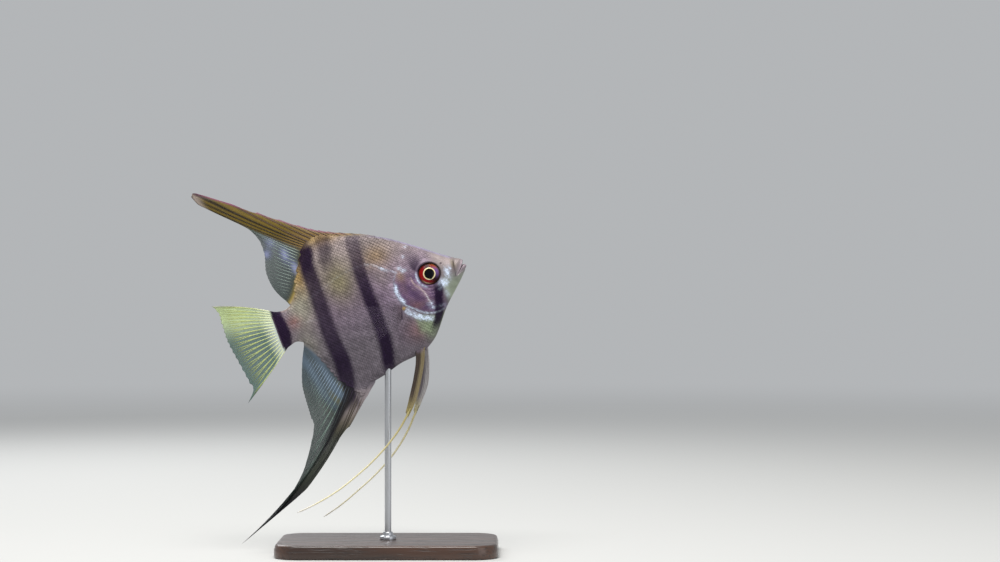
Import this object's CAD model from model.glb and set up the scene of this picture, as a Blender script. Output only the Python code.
"""A freshwater angelfish, life size, on its display stand: skin, scales, eyes, fins and stand.

Shapes are worked out in the fish's own frame, in millimetres: x runs from the root of the tail fin to the
snout, y towards the fish's left and z towards its back. `to_row` pitches them nose-up and lifts them into
place. A piece for one side of the fish takes side = +1 for its left and -1 for its right.
"""

import math

import bpy
import numpy as np
from bpy.props import FloatProperty, FloatVectorProperty, IntProperty, PointerProperty
from bpy.types import Operator, Panel, PropertyGroup
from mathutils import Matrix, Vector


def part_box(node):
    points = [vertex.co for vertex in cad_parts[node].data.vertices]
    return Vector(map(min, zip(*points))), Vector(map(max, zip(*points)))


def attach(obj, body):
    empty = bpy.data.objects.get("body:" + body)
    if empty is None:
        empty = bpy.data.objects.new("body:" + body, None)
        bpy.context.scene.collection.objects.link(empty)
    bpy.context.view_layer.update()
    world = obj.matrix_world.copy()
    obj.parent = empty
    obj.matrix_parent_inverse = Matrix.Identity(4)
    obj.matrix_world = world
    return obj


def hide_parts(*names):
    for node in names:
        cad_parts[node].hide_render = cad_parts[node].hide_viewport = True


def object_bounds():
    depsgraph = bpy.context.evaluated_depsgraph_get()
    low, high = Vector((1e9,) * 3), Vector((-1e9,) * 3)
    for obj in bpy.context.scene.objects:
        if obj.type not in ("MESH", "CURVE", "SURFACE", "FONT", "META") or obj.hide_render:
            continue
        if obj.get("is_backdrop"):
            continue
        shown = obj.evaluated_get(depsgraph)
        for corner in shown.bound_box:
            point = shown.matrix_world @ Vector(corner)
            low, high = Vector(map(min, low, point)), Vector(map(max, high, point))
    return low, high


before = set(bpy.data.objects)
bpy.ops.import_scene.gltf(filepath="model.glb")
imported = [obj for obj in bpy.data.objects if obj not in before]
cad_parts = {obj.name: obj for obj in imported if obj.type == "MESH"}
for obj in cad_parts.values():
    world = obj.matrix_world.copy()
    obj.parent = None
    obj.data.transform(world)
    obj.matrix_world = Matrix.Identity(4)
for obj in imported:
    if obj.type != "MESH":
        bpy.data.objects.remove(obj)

bl_info = {
    "name": "Angelfish model",
    "version": (1, 0, 0),
    "blender": (4, 5, 0),
    "location": "View3D > Sidebar > Angelfish",
    "description": "Skin, scales, eyes, fins and stand of a life-size angelfish",
    "category": "Object",
}

box_at_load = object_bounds()
MM = 0.001
PITCH = math.radians(20)
TAIL_ROOT = (-37.7, 0.0, 81.4)  # the fish frame's origin, in the row frame
SIDES = {"right": -1, "left": 1}


def srgb(red, green, blue):
    """A screen colour of 0 to 255 as linear light: the power curve with its straight toe."""
    shares = (v / 255 for v in (red, green, blue))
    return tuple(v / 12.92 if v <= 0.04045 else ((v + 0.055) / 1.055) ** 2.4 for v in shares)


# ---------------------------------------------------------------------------------------------------------
# Settings


def length(name, description, millimetres):
    return FloatProperty(
        name=name,
        description=description,
        default=millimetres * MM,
        unit="LENGTH",
        precision=5,
    )


def colour(name, description, red, green, blue):
    return FloatVectorProperty(
        name=name,
        description=description,
        default=srgb(red, green, blue),
        size=3,
        min=0,
        max=1,
        subtype="COLOR",
    )


class FishSizes(PropertyGroup):
    coat_depth: length("Coat depth", "How far the skin lies inside the solids, under the scales", 0.14)
    scale_length: length("Scale spacing along", "From one scale's edge to the next, towards the tail", 1.46)
    scale_height: length("Scale spacing across", "From one row of scales to the next", 0.73)
    scale_lift: length("Scale lift", "How far a scale's free edge stands off the skin", 0.13)
    eye_radius: length("Eye radius", "Of the ball, seen from the side", 4.05)
    eye_depth: length("Eye half depth", "From the ball's middle to the front of the cornea", 2.3)
    ray_radius: length("Soft ray radius", "Of a soft ray where it leaves the body", 0.19)
    spine_radius: length("Spine radius", "Of a spine where it leaves the body", 0.34)
    web_thickness: length("Web thickness", "Of the web between two rays", 0.12)


class FishColours(PropertyGroup):
    back: colour("Back", "Upper flank and nape", 134, 122, 122)
    flank: colour("Flank", "Middle of the side", 118, 103, 119)
    belly: colour("Belly", "Lower side", 104, 97, 105)
    olive: colour("Olive", "Between the bars, towards the back", 122, 116, 84)
    gold: colour("Gold", "Shoulder, and along the foot of the back fin", 158, 128, 74)
    violet: colour("Violet", "Cheek and gill cover", 86, 64, 96)
    rose: colour("Rose", "Middle of the tail stalk, breast", 126, 88, 84)
    sand: colour("Sand", "Between the hind bar and the tail", 148, 148, 128)
    bar: colour("Bars", "The dark upright bars", 25, 7, 38)
    silver: colour("Silver", "Glints on cheek and gill cover", 220, 234, 255)
    brown: colour("Fin brown", "Long lobe of the back fin", 104, 86, 28)
    smoke: colour("Fin smoke", "Dark web of the soft fins", 46, 58, 56)
    ice: colour("Fin blue", "Pale patches on the soft fins", 136, 142, 176)
    lime: colour("Tail green", "Rays of the tail fin", 182, 192, 124)
    chalk: colour("Tail white", "Root of the tail fin", 198, 208, 200)


class EyeColours(PropertyGroup):
    red: colour("Red", "Back part of the iris", 138, 12, 14)
    orange: colour("Orange", "Upper front of the iris", 176, 78, 24)
    violet: colour("Violet", "Front of the iris", 112, 84, 138)
    dark: colour("Dark", "Where the bar crosses the iris", 16, 6, 18)
    ring: colour("Ring", "Pale ring round the pupil", 222, 212, 176)
    rim: colour("Rim", "Outer edge of the iris", 104, 84, 48)


class StandLooks(PropertyGroup):
    stain: colour("Wood stain", "Dark grain lines of the base", 34, 22, 16)
    wood: colour("Wood", "Light grain of the base", 74, 48, 34)
    steel: colour("Steel", "Rod and collar", 186, 188, 192)


class Studio(PropertyGroup):
    lens: FloatProperty(name="Lens", description="Focal length in millimetres", default=85)
    distance: length("Camera distance", "From the fish's middle plane", 856)
    aim_x: length("Aim along", "Row-frame X at the middle of the picture", 40.6)
    aim_z: length("Aim height", "Height of the level camera", 98.6)
    floor_radius: length("Floor radius", "Where the floor has faded out", 1500)
    key_power: FloatProperty(name="Key light", description="Large lamp overhead, in watts", default=6.4)
    fill_power: FloatProperty(name="Fill light", description="Lamp beside the camera, in watts", default=0.9)
    rim_power: FloatProperty(name="Rim light", description="Lamp behind, in watts", default=2.0)
    ambient: FloatProperty(name="Ambient", description="Strength of the even room light", default=0.52)
    floor: colour("Floor", "Pale floor", 196, 196, 194)
    room: colour("Room", "Colour of the even light", 240, 243, 246)


def size(name):
    """One of the fish's sizes, in millimetres."""
    return getattr(bpy.context.scene.fish_sizes, name) / MM


def palette(group="fish_colours"):
    """The colours of a group of settings, by their names."""
    settings = getattr(bpy.context.scene, group)
    return {name: np.array(getattr(settings, name)) for name in type(settings).__annotations__}


# ---------------------------------------------------------------------------------------------------------
# Curves and numbers


def curve(points):
    """Height over the first number of each point: a cubic in each span, whose slopes at the points weigh the
    slopes of the two spans beside each by the other's length."""
    x, y = np.array(points, float).T
    span = np.diff(x)
    rise = np.diff(y) / span
    slope = np.empty_like(x)
    slope[0], slope[-1] = rise[0], rise[-1]
    slope[1:-1] = (rise[:-1] * span[1:] + rise[1:] * span[:-1]) / (span[:-1] + span[1:])

    def height(at):
        at = np.clip(at, x[0], x[-1])
        i = np.clip(np.searchsorted(x, at, side="right") - 1, 0, len(span) - 1)
        t = (at - x[i]) / span[i]
        rest = 1 - t
        return (
            (1 + 2 * t) * rest**2 * y[i]
            + t * rest**2 * span[i] * slope[i]
            + t**2 * (3 - 2 * t) * y[i + 1]
            - t**2 * rest * span[i] * slope[i + 1]
        )

    return height


def route(points):
    """A smooth line through points of any dimension, by the share t of its chords' length: one curve for each
    coordinate over that length."""
    p = np.array(points, float)
    along = np.concatenate([[0], np.cumsum(np.linalg.norm(np.diff(p, axis=0), axis=1))])
    parts = [curve(np.stack([along / along[-1], p[:, k]], 1)) for k in range(p.shape[1])]
    return lambda t: np.stack([part(t) for part in parts], -1)


def ramp(low, high, value):
    """0 below low, 1 above high, and a smooth S of 3t^2 - 2t^3 between."""
    t = np.clip((value - low) / (high - low), 0, 1)
    return t * t * (3 - 2 * t)


def bump(distance, width):
    """A bell: e to the minus square of distance over width."""
    return np.exp(-((distance / width) ** 2))


def away(x, z, point):
    """Distance of side-view points from one of them."""
    return np.hypot(x - point[0], z - point[1])


def dab(x, z, at_x, at_z, wide, tall):
    """A bell about a side-view point, of one width along x and another along z."""
    return np.exp(-(((x - at_x) / wide) ** 2) - ((z - at_z) / tall) ** 2)


def blend(a, b, share):
    """a where share is 0, b where it is 1."""
    return a * (1 - share) + b * share


def dye(a, b, share):
    """The same for colours, with one share to each point."""
    return blend(np.asarray(a), np.asarray(b), np.asarray(share)[..., None])


def mottle(x, z, across, seed):
    """Soft lumps from -1 to 1, about that far across: waves in seeded directions, added up and squeezed."""
    draw = np.random.default_rng(seed)
    waves = 9
    spans = ((0, np.pi), (0, 6.28), (0.6, 1.5))
    ways, starts, paces = (draw.uniform(low, high, waves) for low, high in spans)
    total = 0
    for way, start, pace in zip(ways, starts, paces):
        total = total + np.sin((x * np.cos(way) + z * np.sin(way)) * 3.14 * pace / across + start)
    return np.tanh(total / 2.2)


def beside(line, x, z, steps=48):
    """Signed distance of side-view points from a smooth line, positive on its left as it runs, and the share
    of the way along it of the nearest point. The line is cut into straight steps and the nearest one wins."""
    p = route(line)(np.linspace(0, 1, steps + 1))
    a, run = p[:-1], np.diff(p, axis=0)
    flat = np.stack([np.ravel(x), np.ravel(z)], 1)
    best = np.full(len(flat), np.inf)
    signed, share = np.zeros(len(flat)), np.zeros(len(flat))
    for i in range(steps):
        away = flat - a[i]
        t = np.clip(away @ run[i] / (run[i] @ run[i]), 0, 1)
        gap = away - t[:, None] * run[i]
        distance = np.hypot(gap[:, 0], gap[:, 1])
        nearer = distance < best
        turn = np.sign(run[i][0] * away[:, 1] - run[i][1] * away[:, 0])
        best = np.where(nearer, distance, best)
        signed = np.where(nearer, turn * distance, signed)
        share = np.where(nearer, (i + t) / steps, share)
    return signed.reshape(np.shape(x)), share.reshape(np.shape(x))


def to_row(points):
    """Fish-frame millimetres as row-frame metres: a turn about the y axis by the pitch, then a shift."""
    x, y, z = np.moveaxis(np.asarray(points, float), -1, 0)
    cos, sin = math.cos(PITCH), math.sin(PITCH)
    turned = np.stack([x * cos - z * sin, y, x * sin + z * cos], -1)
    return (turned + TAIL_ROOT) * MM


# ---------------------------------------------------------------------------------------------------------
# Meshes


def make_piece(name, points, faces, material, slot, nodes, coordinates=None, uv_name="map", **attributes):
    """One mesh object from points in metres and arrays of faces, riding on the one body. `attributes` are
    arrays with one number or one colour to each point, and `coordinates` one pair to each point."""
    mesh = bpy.data.meshes.new(name)
    points = np.asarray(points, np.float32).reshape(-1, 3)
    mesh.vertices.add(len(points))
    mesh.vertices.foreach_set("co", points.ravel())
    corners = np.concatenate([np.asarray(f, np.int32).ravel() for f in faces])
    counts = np.concatenate([np.full(len(f), np.shape(f)[1], np.int32) for f in faces])
    mesh.loops.add(len(corners))
    mesh.loops.foreach_set("vertex_index", corners)
    mesh.polygons.add(len(counts))
    mesh.polygons.foreach_set("loop_start", np.concatenate([[0], np.cumsum(counts)[:-1]]).astype(np.int32))
    mesh.polygons.foreach_set("use_smooth", np.ones(len(counts), bool))
    mesh.update(calc_edges=True)
    if coordinates is not None:
        layer = mesh.uv_layers.new(name=uv_name)
        layer.data.foreach_set("uv", np.asarray(coordinates, np.float32).reshape(-1, 2)[corners].ravel())
    for key, values in attributes.items():
        values = np.asarray(values, np.float32)
        if values.ndim and values.shape[-1] == 3 and values.size == 3 * len(points):
            rgba = np.concatenate([values.reshape(-1, 3), np.ones((len(points), 1), np.float32)], 1)
            mesh.attributes.new(key, "FLOAT_COLOR", "POINT").data.foreach_set("color", rgba.ravel())
        else:
            mesh.attributes.new(key, "FLOAT", "POINT").data.foreach_set("value", values.ravel())
    mesh.materials.append(material)
    piece = bpy.data.objects.new(name, mesh)
    bpy.context.scene.collection.objects.link(piece)
    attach(piece, "root")
    if nodes:
        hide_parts(*nodes)
    return piece


def strip_faces(rows, columns, wrap=False, start=0):
    """Quads of a grid of rows by columns of points, the columns joined up into a ring where wrap is true."""
    last = columns if wrap else columns - 1
    i, j = np.meshgrid(np.arange(rows - 1), np.arange(last), indexing="ij")
    a, b = i * columns + j, i * columns + (j + 1) % columns
    return start + np.stack([a, b, b + columns, a + columns], -1).reshape(-1, 4)


def ring_faces(rings, around):
    """Quads of a closed tube of rings, and one many-sided face on each end."""
    first = np.arange(around)[::-1]
    return [strip_faces(rings, around, wrap=True), first[None], (first[::-1] + (rings - 1) * around)[None]]


def outward(points, faces):
    """The faces turned round if the volume they enclose, by the sum of their corner pyramids, is negative."""
    p = np.asarray(points).reshape(-1, 3)
    total = 0.0
    for group in faces:
        corners = p[np.asarray(group)]
        crossed = np.cross(corners, np.roll(corners, -1, axis=1))
        total += np.sum(crossed * corners.mean(1)[:, None])
    return faces if total > 0 else [np.asarray(f)[:, ::-1] for f in faces]


def closed_tube(rings):
    """Outward faces of a closed tube, from its points as a grid of rings by steps around."""
    return outward(rings, ring_faces(*np.shape(rings)[:2]))


def many(faces, copies, points_each):
    """The same faces for each of a number of copies, each with as many points of its own."""
    steps = np.arange(copies)[:, None, None] * points_each
    return [(np.asarray(f)[None] + steps).reshape(-1, np.shape(f)[1]) for f in faces]


def turns(steps):
    """Even angles round a full circle."""
    return np.linspace(0, 2 * np.pi, steps, endpoint=False)


def unit(vectors):
    """Vectors brought to length 1."""
    return vectors / np.maximum(np.linalg.norm(vectors, axis=-1, keepdims=True), 1e-9)


def ring_normals(rings):
    """Unit normals of a tube's points, from the cross of the differences between rings and round each."""
    around = (np.roll(rings, -1, axis=1) - np.roll(rings, 1, axis=1)) / 2
    return unit(np.cross(np.gradient(rings, axis=0), around))


def tubes_about(middle, out, across, radius, sides):
    """Rings of points about lines: two unit vectors square to each line, turned by even angles and drawn out
    to the radius of each of its points."""
    angle = turns(sides)[:, None]
    ring = out[..., None, :] * np.cos(angle) + across[..., None, :] * np.sin(angle)
    return middle[..., None, :] + ring * radius[..., None, None]


# ---------------------------------------------------------------------------------------------------------
# Materials


class Value:
    """A socket of a finish. Arithmetic on it adds Math nodes to that finish."""

    def __init__(self, finish, socket):
        self.finish = finish
        self.socket = socket

    def math(self, operation, *others):
        return self.finish.math(operation, self, *others)

    def __add__(self, other):
        return self.math("ADD", other)

    def __sub__(self, other):
        return self.math("SUBTRACT", other)

    def __mul__(self, other):
        return self.math("MULTIPLY", other)

    def __truediv__(self, other):
        return self.math("DIVIDE", other)

    def __pow__(self, other):
        return self.math("POWER", other)

    def __rsub__(self, other):
        return self.finish.math("SUBTRACT", other, self)

    __radd__ = __add__
    __rmul__ = __mul__

    def clip(self):
        return self.math("MAXIMUM", 0.0).math("MINIMUM", 1.0)

    def step(self, low, high):
        """0 at low, 1 at high, with a smooth S between."""
        smooth = {"interpolation_type": "SMOOTHSTEP"}
        return self.finish.node("ShaderNodeMapRange", smooth, {0: self, 1: low, 2: high, 3: 0.0, 4: 1.0})


class Finish:
    """A node material. `node` adds any node, and `surface` ends it in one Principled shader."""

    def __init__(self, name):
        self.material = bpy.data.materials.new(name)
        self.material.use_nodes = True
        self.tree = self.material.node_tree
        self.tree.nodes.clear()

    def node(self, kind, settings=None, inputs=None, output=0):
        node = self.tree.nodes.new(kind)
        for key, value in (settings or {}).items():
            setattr(node, key, value)
        for key, value in (inputs or {}).items():
            self.feed(node.inputs[key], value)
        return Value(self, node.outputs[output])

    def feed(self, socket, value):
        if isinstance(value, Value):
            self.tree.links.new(value.socket, socket)
        elif isinstance(value, (int, float)):
            socket.default_value = value
        else:
            numbers = tuple(value)
            wanted = len(socket.default_value)
            socket.default_value = numbers + (1.0,) * (wanted - len(numbers))

    def math(self, operation, *values):
        return self.node("ShaderNodeMath", {"operation": operation}, dict(enumerate(values)))

    def mix(self, share, a, b):
        return self.node("ShaderNodeMix", {"data_type": "RGBA"}, {0: share, 6: a, 7: b}, output=2)

    def shade(self, hue, share):
        """A colour made lighter or darker by a number."""
        scaled = {"operation": "SCALE"}
        return self.node("ShaderNodeVectorMath", scaled, {"Vector": hue, "Scale": share})

    def place(self):
        return self.node("ShaderNodeTexCoord", {}, {}, output="Object")

    def stretched(self, scale, turn=(0, 0, 0)):
        return self.node("ShaderNodeMapping", {}, {"Vector": self.place(), "Scale": scale, "Rotation": turn})

    def noise(self, lump, detail=2.0, where=None):
        """Noise from 0 to 1 with lumps of that many metres."""
        where = self.place() if where is None else where
        return self.node("ShaderNodeTexNoise", {}, {"Vector": where, "Scale": 1 / lump, "Detail": detail})

    def attribute(self, name, output="Fac"):
        return self.node("ShaderNodeAttribute", {"attribute_name": name}, {}, output=output)

    def relief(self, height, distance):
        return self.node("ShaderNodeBump", {}, {"Height": height, "Distance": distance, "Strength": 1.0})

    def surface(self, **sockets):
        inputs = {key.replace("_", " ").title().replace("Ior", "IOR"): v for key, v in sockets.items()}
        return self.ended(self.node("ShaderNodeBsdfPrincipled", {}, inputs))

    def ended(self, shader):
        self.tree.links.new(shader.socket, self.tree.nodes.new("ShaderNodeOutputMaterial").inputs["Surface"])
        return self.material


def shared(name, make, *more):
    """The finish of that name, made when it is first asked for."""
    return bpy.data.materials.get(name) or make(name, *more)


def skin_finish(name, scaled):
    """Satin skin over silver: the painted tint, broken by fine and coarse noise, whose glints turn metal. On
    scales the free edge is darker and the middle of each is lighter."""
    paint = Finish(name)
    tint = paint.attribute("tint", "Color")
    glint = paint.attribute("glint")
    grain = paint.noise(0.00028, detail=3.0)
    cloud = paint.noise(0.0045, detail=2.0)
    light = 0.74 + grain * 0.30 + cloud * 0.22
    if scaled:
        edge = paint.attribute("edge")
        light = light * (1.12 - edge * 0.36) * (0.84 + paint.attribute("own") * 0.32)
    streaked = paint.stretched((0.6, 1.0, 1.2), turn=(0, math.radians(38), 0))
    speck = paint.noise(0.00034, detail=3.0, where=streaked).step(0.36, 0.66)
    sparkle = (glint * (0.54 + speck * 0.85)).clip() * 0.95
    hue = paint.shade(tint, light)
    hue = paint.mix(sparkle, hue, palette()["silver"])
    height = grain * 0.5 + paint.noise(0.0009, detail=2.0) * 0.5
    return paint.surface(
        base_color=hue,
        metallic=0.18,
        roughness=0.42 - sparkle * 0.18 + grain * 0.06,
        specular_ior_level=0.07,
        normal=paint.relief(height, 0.00005 if scaled else 0.00003),
        coat_weight=0.05,
        coat_roughness=0.25,
    )


def fin_finish(name):
    """A thin web: painted tint and cover, streaked along its rays by noise stretched in the web's own map."""
    paint = Finish(name)
    tint = paint.attribute("tint", "Color")
    cover = paint.attribute("cover")
    web = paint.node("ShaderNodeUVMap", {"uv_map": "map"}, {})
    streaked = paint.node("ShaderNodeMapping", {}, {"Vector": web, "Scale": (9.0, 0.9, 1.0)})
    streak = paint.noise(1.0, detail=3.0, where=streaked)
    mottle = paint.noise(0.0011, detail=2.0)
    hue = paint.shade(tint, 0.62 + streak * 0.46 + mottle * 0.3)
    return paint.surface(
        base_color=hue,
        roughness=0.36 + mottle * 0.1,
        alpha=(cover * (0.76 + streak * 0.48)).clip(),
        normal=paint.relief(streak, 0.00006),
        specular_ior_level=0.25,
    )


def ray_finish(name, depth=0.44):
    """Rays, spines and threads: painted tint and cover, with joints lighter and darker by a depth, over
    bumps that grow with it."""
    paint = Finish(name)
    tint = paint.attribute("tint", "Color")
    mottle = paint.noise(0.0006, detail=2.0)
    return paint.surface(
        base_color=paint.shade(tint, 1 - depth / 2 + mottle * depth),
        roughness=0.38 + mottle * 0.1,
        alpha=paint.attribute("cover"),
        normal=paint.relief(mottle, 0.00003 * depth / 0.44),
        specular_ior_level=0.25,
    )


# ---------------------------------------------------------------------------------------------------------
# The body's shape

BACK = [
    (-2.8, 7.7), (0, 6.6), (3, 6.4), (8, 9.9), (13.5, 18.4), (17.5, 24.3), (22, 25.9), (32, 24.2),
    (44, 19.4), (56, 11.2), (64, 5), (68, 2.2), (69.3, 1.2),
]
BELLY = [
    (-2.8, -7.9), (0, -6.8), (3, -6.3), (6, -8.4), (9.3, -14.2), (12.8, -22.4), (17, -27.8),
    (22, -29.3), (27, -28.8), (35, -26.6), (46.5, -24.5), (50, -22.3), (58.5, -12.6), (64.2, -7.3),
    (68.8, -2.8),
]
HALF_WIDTH = [
    (-2.8, 0.5), (0, 1.3), (6, 2), (14, 3.2), (26, 4.9), (38, 6), (46, 6.1), (53, 5.3), (60, 4.1),
    (66, 3.2),
]
WIDEST = [(-2.8, 0), (20, -1), (42, -3.5), (54, -2.5), (63, -1.5)]
EDGE = 0.45  # half the thickness of the body's upper and lower edge
KEEL_BACK, KEEL_BELLY = 0.85, 0.65  # how a section falls off to its edges
SNOUT_FROM = 63.0  # x where upright sections give way to rings that lean round the mouth
JUST_INSIDE = 0.9999  # a share of the way to the edge past which a point lies on the fish's middle plane

GILL_EDGE = [
    (48.6, 10.4), (46.8, 7.2), (44.2, 4), (42.6, -1), (43.3, -5.6), (46.9, -9.5), (50.2, -12.2),
    (55.2, -13.5), (58.6, -12.6),
]
CHEEK_EDGE = [
    (49.4, 4.2), (49.6, 1.5), (50.1, -1.2), (51.6, -3.3), (52.6, -5.5), (53.1, -8), (53.6, -10.8),
]
EYE, EYE_Y = (56.4, 0.6), 2.75
ORBIT_LEAN = (0.15, 0.10)  # how steeply the eye's flat falls off, along x and along z
NOSTRIL = (61.5, 2.6)
PORES = 5  # under the eye and along the jaw
PECTORAL_FOOT = (42.6, -9.0)

back_line, belly_line = curve(BACK), curve(BELLY)
half_width, widest_line = curve(HALF_WIDTH), curve(WIDEST)


def thickness(share, upper, width, roundness=0.0):
    """Half thickness at a share of the way from a section's widest line to its edge: one minus the share's
    square, to a power that sets the keel, over a blunt edge of the same form. Roundness 1 makes an
    ellipse."""
    left = np.maximum(1 - share**2, 0)
    keel = blend(np.where(upper, KEEL_BACK, KEEL_BELLY), 0.5, roundness)
    edge = np.minimum(EDGE, width)
    return (width - edge) * left**keel + edge * left**0.35


def plain_flank(x, z):
    """Half thickness of the plain body at a side-view point."""
    middle = widest_line(x)
    upper = z > middle
    edge = np.where(upper, back_line(x), belly_line(x))
    share = np.clip(np.abs((z - middle) / (edge - middle)), 0, 1)
    return thickness(share, upper, half_width(x))


def orbit_plane(x, z):
    """Height of the flat that the eye sits in: it leans inwards towards the snout and the forehead."""
    return 4.28 - ORBIT_LEAN[0] * (x - EYE[0]) - ORBIT_LEAN[1] * (z - EYE[1])


def modelled(x, y, z):
    """The plain half thickness y with the head's forms put on: gill cover and cheek plates as steps beside
    their edges, bells for fin foot, nostril and pores, and the eye's flat, rim and socket by distance."""
    gill, along = beside(GILL_EDGE, x, z)
    fade = ramp(0.0, 0.22, along) * (1 - ramp(0.88, 1.0, along))
    step = 0.34 * ramp(-0.10, 0.30, gill) * (1 - 0.8 * ramp(2.5, 9, gill)) - 0.07 * bump(gill + 0.35, 0.3)
    y = y + fade * step * (x > 40)
    cheek, along = beside(CHEEK_EDGE, x, z)
    fade = ramp(0.0, 0.2, along) * (1 - ramp(0.85, 1.0, along))
    step = 0.17 * ramp(-0.25, 0.15, -cheek) * (1 - ramp(1.2, 4, -cheek)) + 0.05 * bump(cheek - 0.3, 0.4)
    y = y + fade * step
    foot = np.hypot((x - PECTORAL_FOOT[0]) / 1.3, (z - PECTORAL_FOOT[1]) / 2.9)
    y = y + 0.5 * bump(foot, 0.8)
    pit = away(x, z, NOSTRIL)
    y = y + 0.10 * bump(pit - 0.5, 0.2) - 0.45 * bump(pit, 0.3)
    for k in range(PORES):
        pore = np.hypot(x - (60.6 - 1.9 * k), z - (-5.9 - 0.9 * k + 0.32 * k * k))
        y = y - 0.10 * bump(pore, 0.22)
    r = away(x, z, EYE)
    flat = orbit_plane(x, z)
    y = blend(y, flat, 1 - ramp(4.4, 6.2, r))
    y = y + 0.16 * bump(r - 4.55, 0.30) - 0.06 * bump(r - 5.2, 0.25)
    return y - (flat - 0.9) * (1 - ramp(3.35, 4.25, r))


def flank(x, z):
    """Half thickness of the finished skin at a side-view point, behind the snout."""
    return modelled(x, plain_flank(x, z) - size("coat_depth"), z)


# Guides of the rings that lean round the mouth, as share of the way, x, z, and their half width by the share.
# The rings reach the lips at 1 and the back of the closed mouth at 2.
UPPER_GUIDE = [
    (0, 63, 5.60), (0.35, 65.4, 3.98), (0.68, 67.6, 2.5), (0.88, 68.75, 1.8), (1, 69.25, 1.05),
    (1.07, 69.05, 0.5), (1.18, 68.2, 0.0), (1.6, 66.6, -1.9), (2, 65.7, -2.9),
]
LOWER_GUIDE = [
    (0, 63, -8.28), (0.35, 65.2, -6.3), (0.68, 67.5, -4.05), (0.88, 69.1, -2.3), (1, 69.85, -0.95),
    (1.07, 69.6, -0.42), (1.18, 68.6, -0.35), (1.6, 66.9, -2.3), (2, 65.7, -2.95),
]
CORNER_GUIDE = [
    (0, 63, -1.5), (0.35, 63.85, -2.3), (0.68, 64.4, -3.3), (0.88, 64.6, -3.95), (1, 64.6, -4.2),
    (1.07, 64.65, -4.2), (1.18, 64.8, -4.1), (1.6, 65.2, -3.5), (2, 65.7, -2.95),
]
MOUTH_WIDTH = [
    (0, 3.50), (0.35, 3.48), (0.68, 3.35), (0.88, 3.05), (1, 2.75), (1.07, 2.5), (1.18, 2.2),
    (1.6, 1.1), (2, 0.02),
]


def guide(points, q):
    rows = np.array(points)
    return np.stack([curve(rows[:, [0, 1]])(q), np.zeros_like(q), curve(rows[:, [0, 2]])(q)], -1)


def snout_rings(q, share, side):
    """Rings round the mouth. Each is two half ellipses that share their ends, at the corner guide with the
    mouth's half width, and reach out to the upper and the lower guide. Half way along the lips they are drawn
    towards the line between the two guides. Lips swell beside creases along q."""
    corner, top, bottom = guide(CORNER_GUIDE, q), guide(UPPER_GUIDE, q), guide(LOWER_GUIDE, q)
    s = share[None, :, None]
    up, down = (top - corner)[:, None], (corner - bottom)[:, None]
    points = corner[:, None] + np.where(s > 0, up * s, down * s)
    middle = corner[:, None] + ((top + bottom) / 2 - corner)[:, None] * np.abs(s)
    closed = 0.74 * (ramp(0.8, 1, q)[:, None] * (4 * np.abs(share) * (1 - np.abs(share)))[None])[..., None]
    points = blend(points, middle, closed)
    width = np.maximum(curve(MOUTH_WIDTH)(q), 0)[:, None]
    inset = size("coat_depth") * (1 - ramp(0, 0.35, q))[:, None]
    reached = np.abs(share)[None] * (1 - inset / 7.1)
    y = thickness(reached, share[None] > 0, width + inset, ramp(0, 1, q)[:, None]) - inset
    points[..., 1] = side[None] * np.clip(y, 0, width) * (np.abs(share)[None] < JUST_INSIDE)
    upper = ramp(-0.2, 0.1, share)[None]
    q = q[:, None]
    fold = -0.13 * bump(q - 0.58, 0.05) * upper - 0.06 * bump(q - 0.89, 0.03)
    swell = 0.10 * bump(q - 0.97, 0.04) + 0.05 * bump(q - 0.74, 0.07) * upper
    return points, (fold + swell)[..., None]


# ---------------------------------------------------------------------------------------------------------
# The body's colours

# Dark bars as height, middle, half width, strength; they stand nearly upright on the fish
EYE_BAR = [
    (-22, 49.6, 1.1, 0), (-19.4, 51.4, 1.2, 0.25), (-17.2, 52.8, 1.5, 0.9), (-15, 54.4, 1.6, 1),
    (-11.6, 55.8, 1.55, 1), (-8.2, 56.9, 1.6, 1), (-4.7, 57.9, 1.55, 1), (0.6, 56, 1.8, 0.9),
    (4.6, 52.9, 2.0, 0.8), (7.7, 52.4, 1.9, 0.58), (10.8, 51.2, 1.9, 0.3), (15.5, 48.6, 2.4, 0.12),
]
SHOULDER_BAR = [
    (-27, 31.2, 2.0, 0.8), (-24.5, 31.9, 2.3, 1), (-19.2, 33.1, 2.5, 1), (-10.2, 33.7, 2.45, 1),
    (-0.6, 33.4, 2.4, 0.97), (9.6, 33.4, 2.45, 0.88), (16, 33.9, 2.5, 0.76), (19.8, 34.2, 2.6, 0.7),
    (24, 34.6, 2.6, 0.6),
]
HIND_BAR = [
    (-30, 13.9, 2.9, 0.95), (-25, 15.4, 3.2, 0.92), (-19.6, 16.2, 3.2, 0.97), (-8.5, 15.5, 2.95, 0.86),
    (2.2, 15.7, 2.8, 0.86), (11.8, 15.9, 2.8, 0.88), (18.3, 15.9, 2.8, 1), (24.1, 17.2, 2.5, 1),
    (26, 17.6, 1.6, 0.6), (28, 18, 1, 0),
]
SHORT_BAR = [(11, 22.2, 2.0, 0.0), (16, 23.0, 2.3, 0.42), (20, 23.6, 2.5, 0.66), (26, 24.4, 2.8, 0.6)]
TAIL_BAR = [
    (-8.5, -1.2, 1.2, 1), (-6.8, -0.95, 1.5, 1), (-3.5, -0.35, 2.2, 1), (2, -0.45, 2.1, 1),
    (7, -1.0, 1.7, 1),
]
WHITE_BAND = [(44.6, -9.6), (45.9, -11.1), (48.4, -13.2), (51.9, -14.9)]
UPPER_LINE = [(45.4, 4.9), (41.8, 7.6), (36.9, 11.2), (28, 11.4), (20, 9.2), (12, 6.6)]
LOWER_LINE = [(15.3, -1.5), (9, -0.6), (1.5, 0)]


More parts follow.
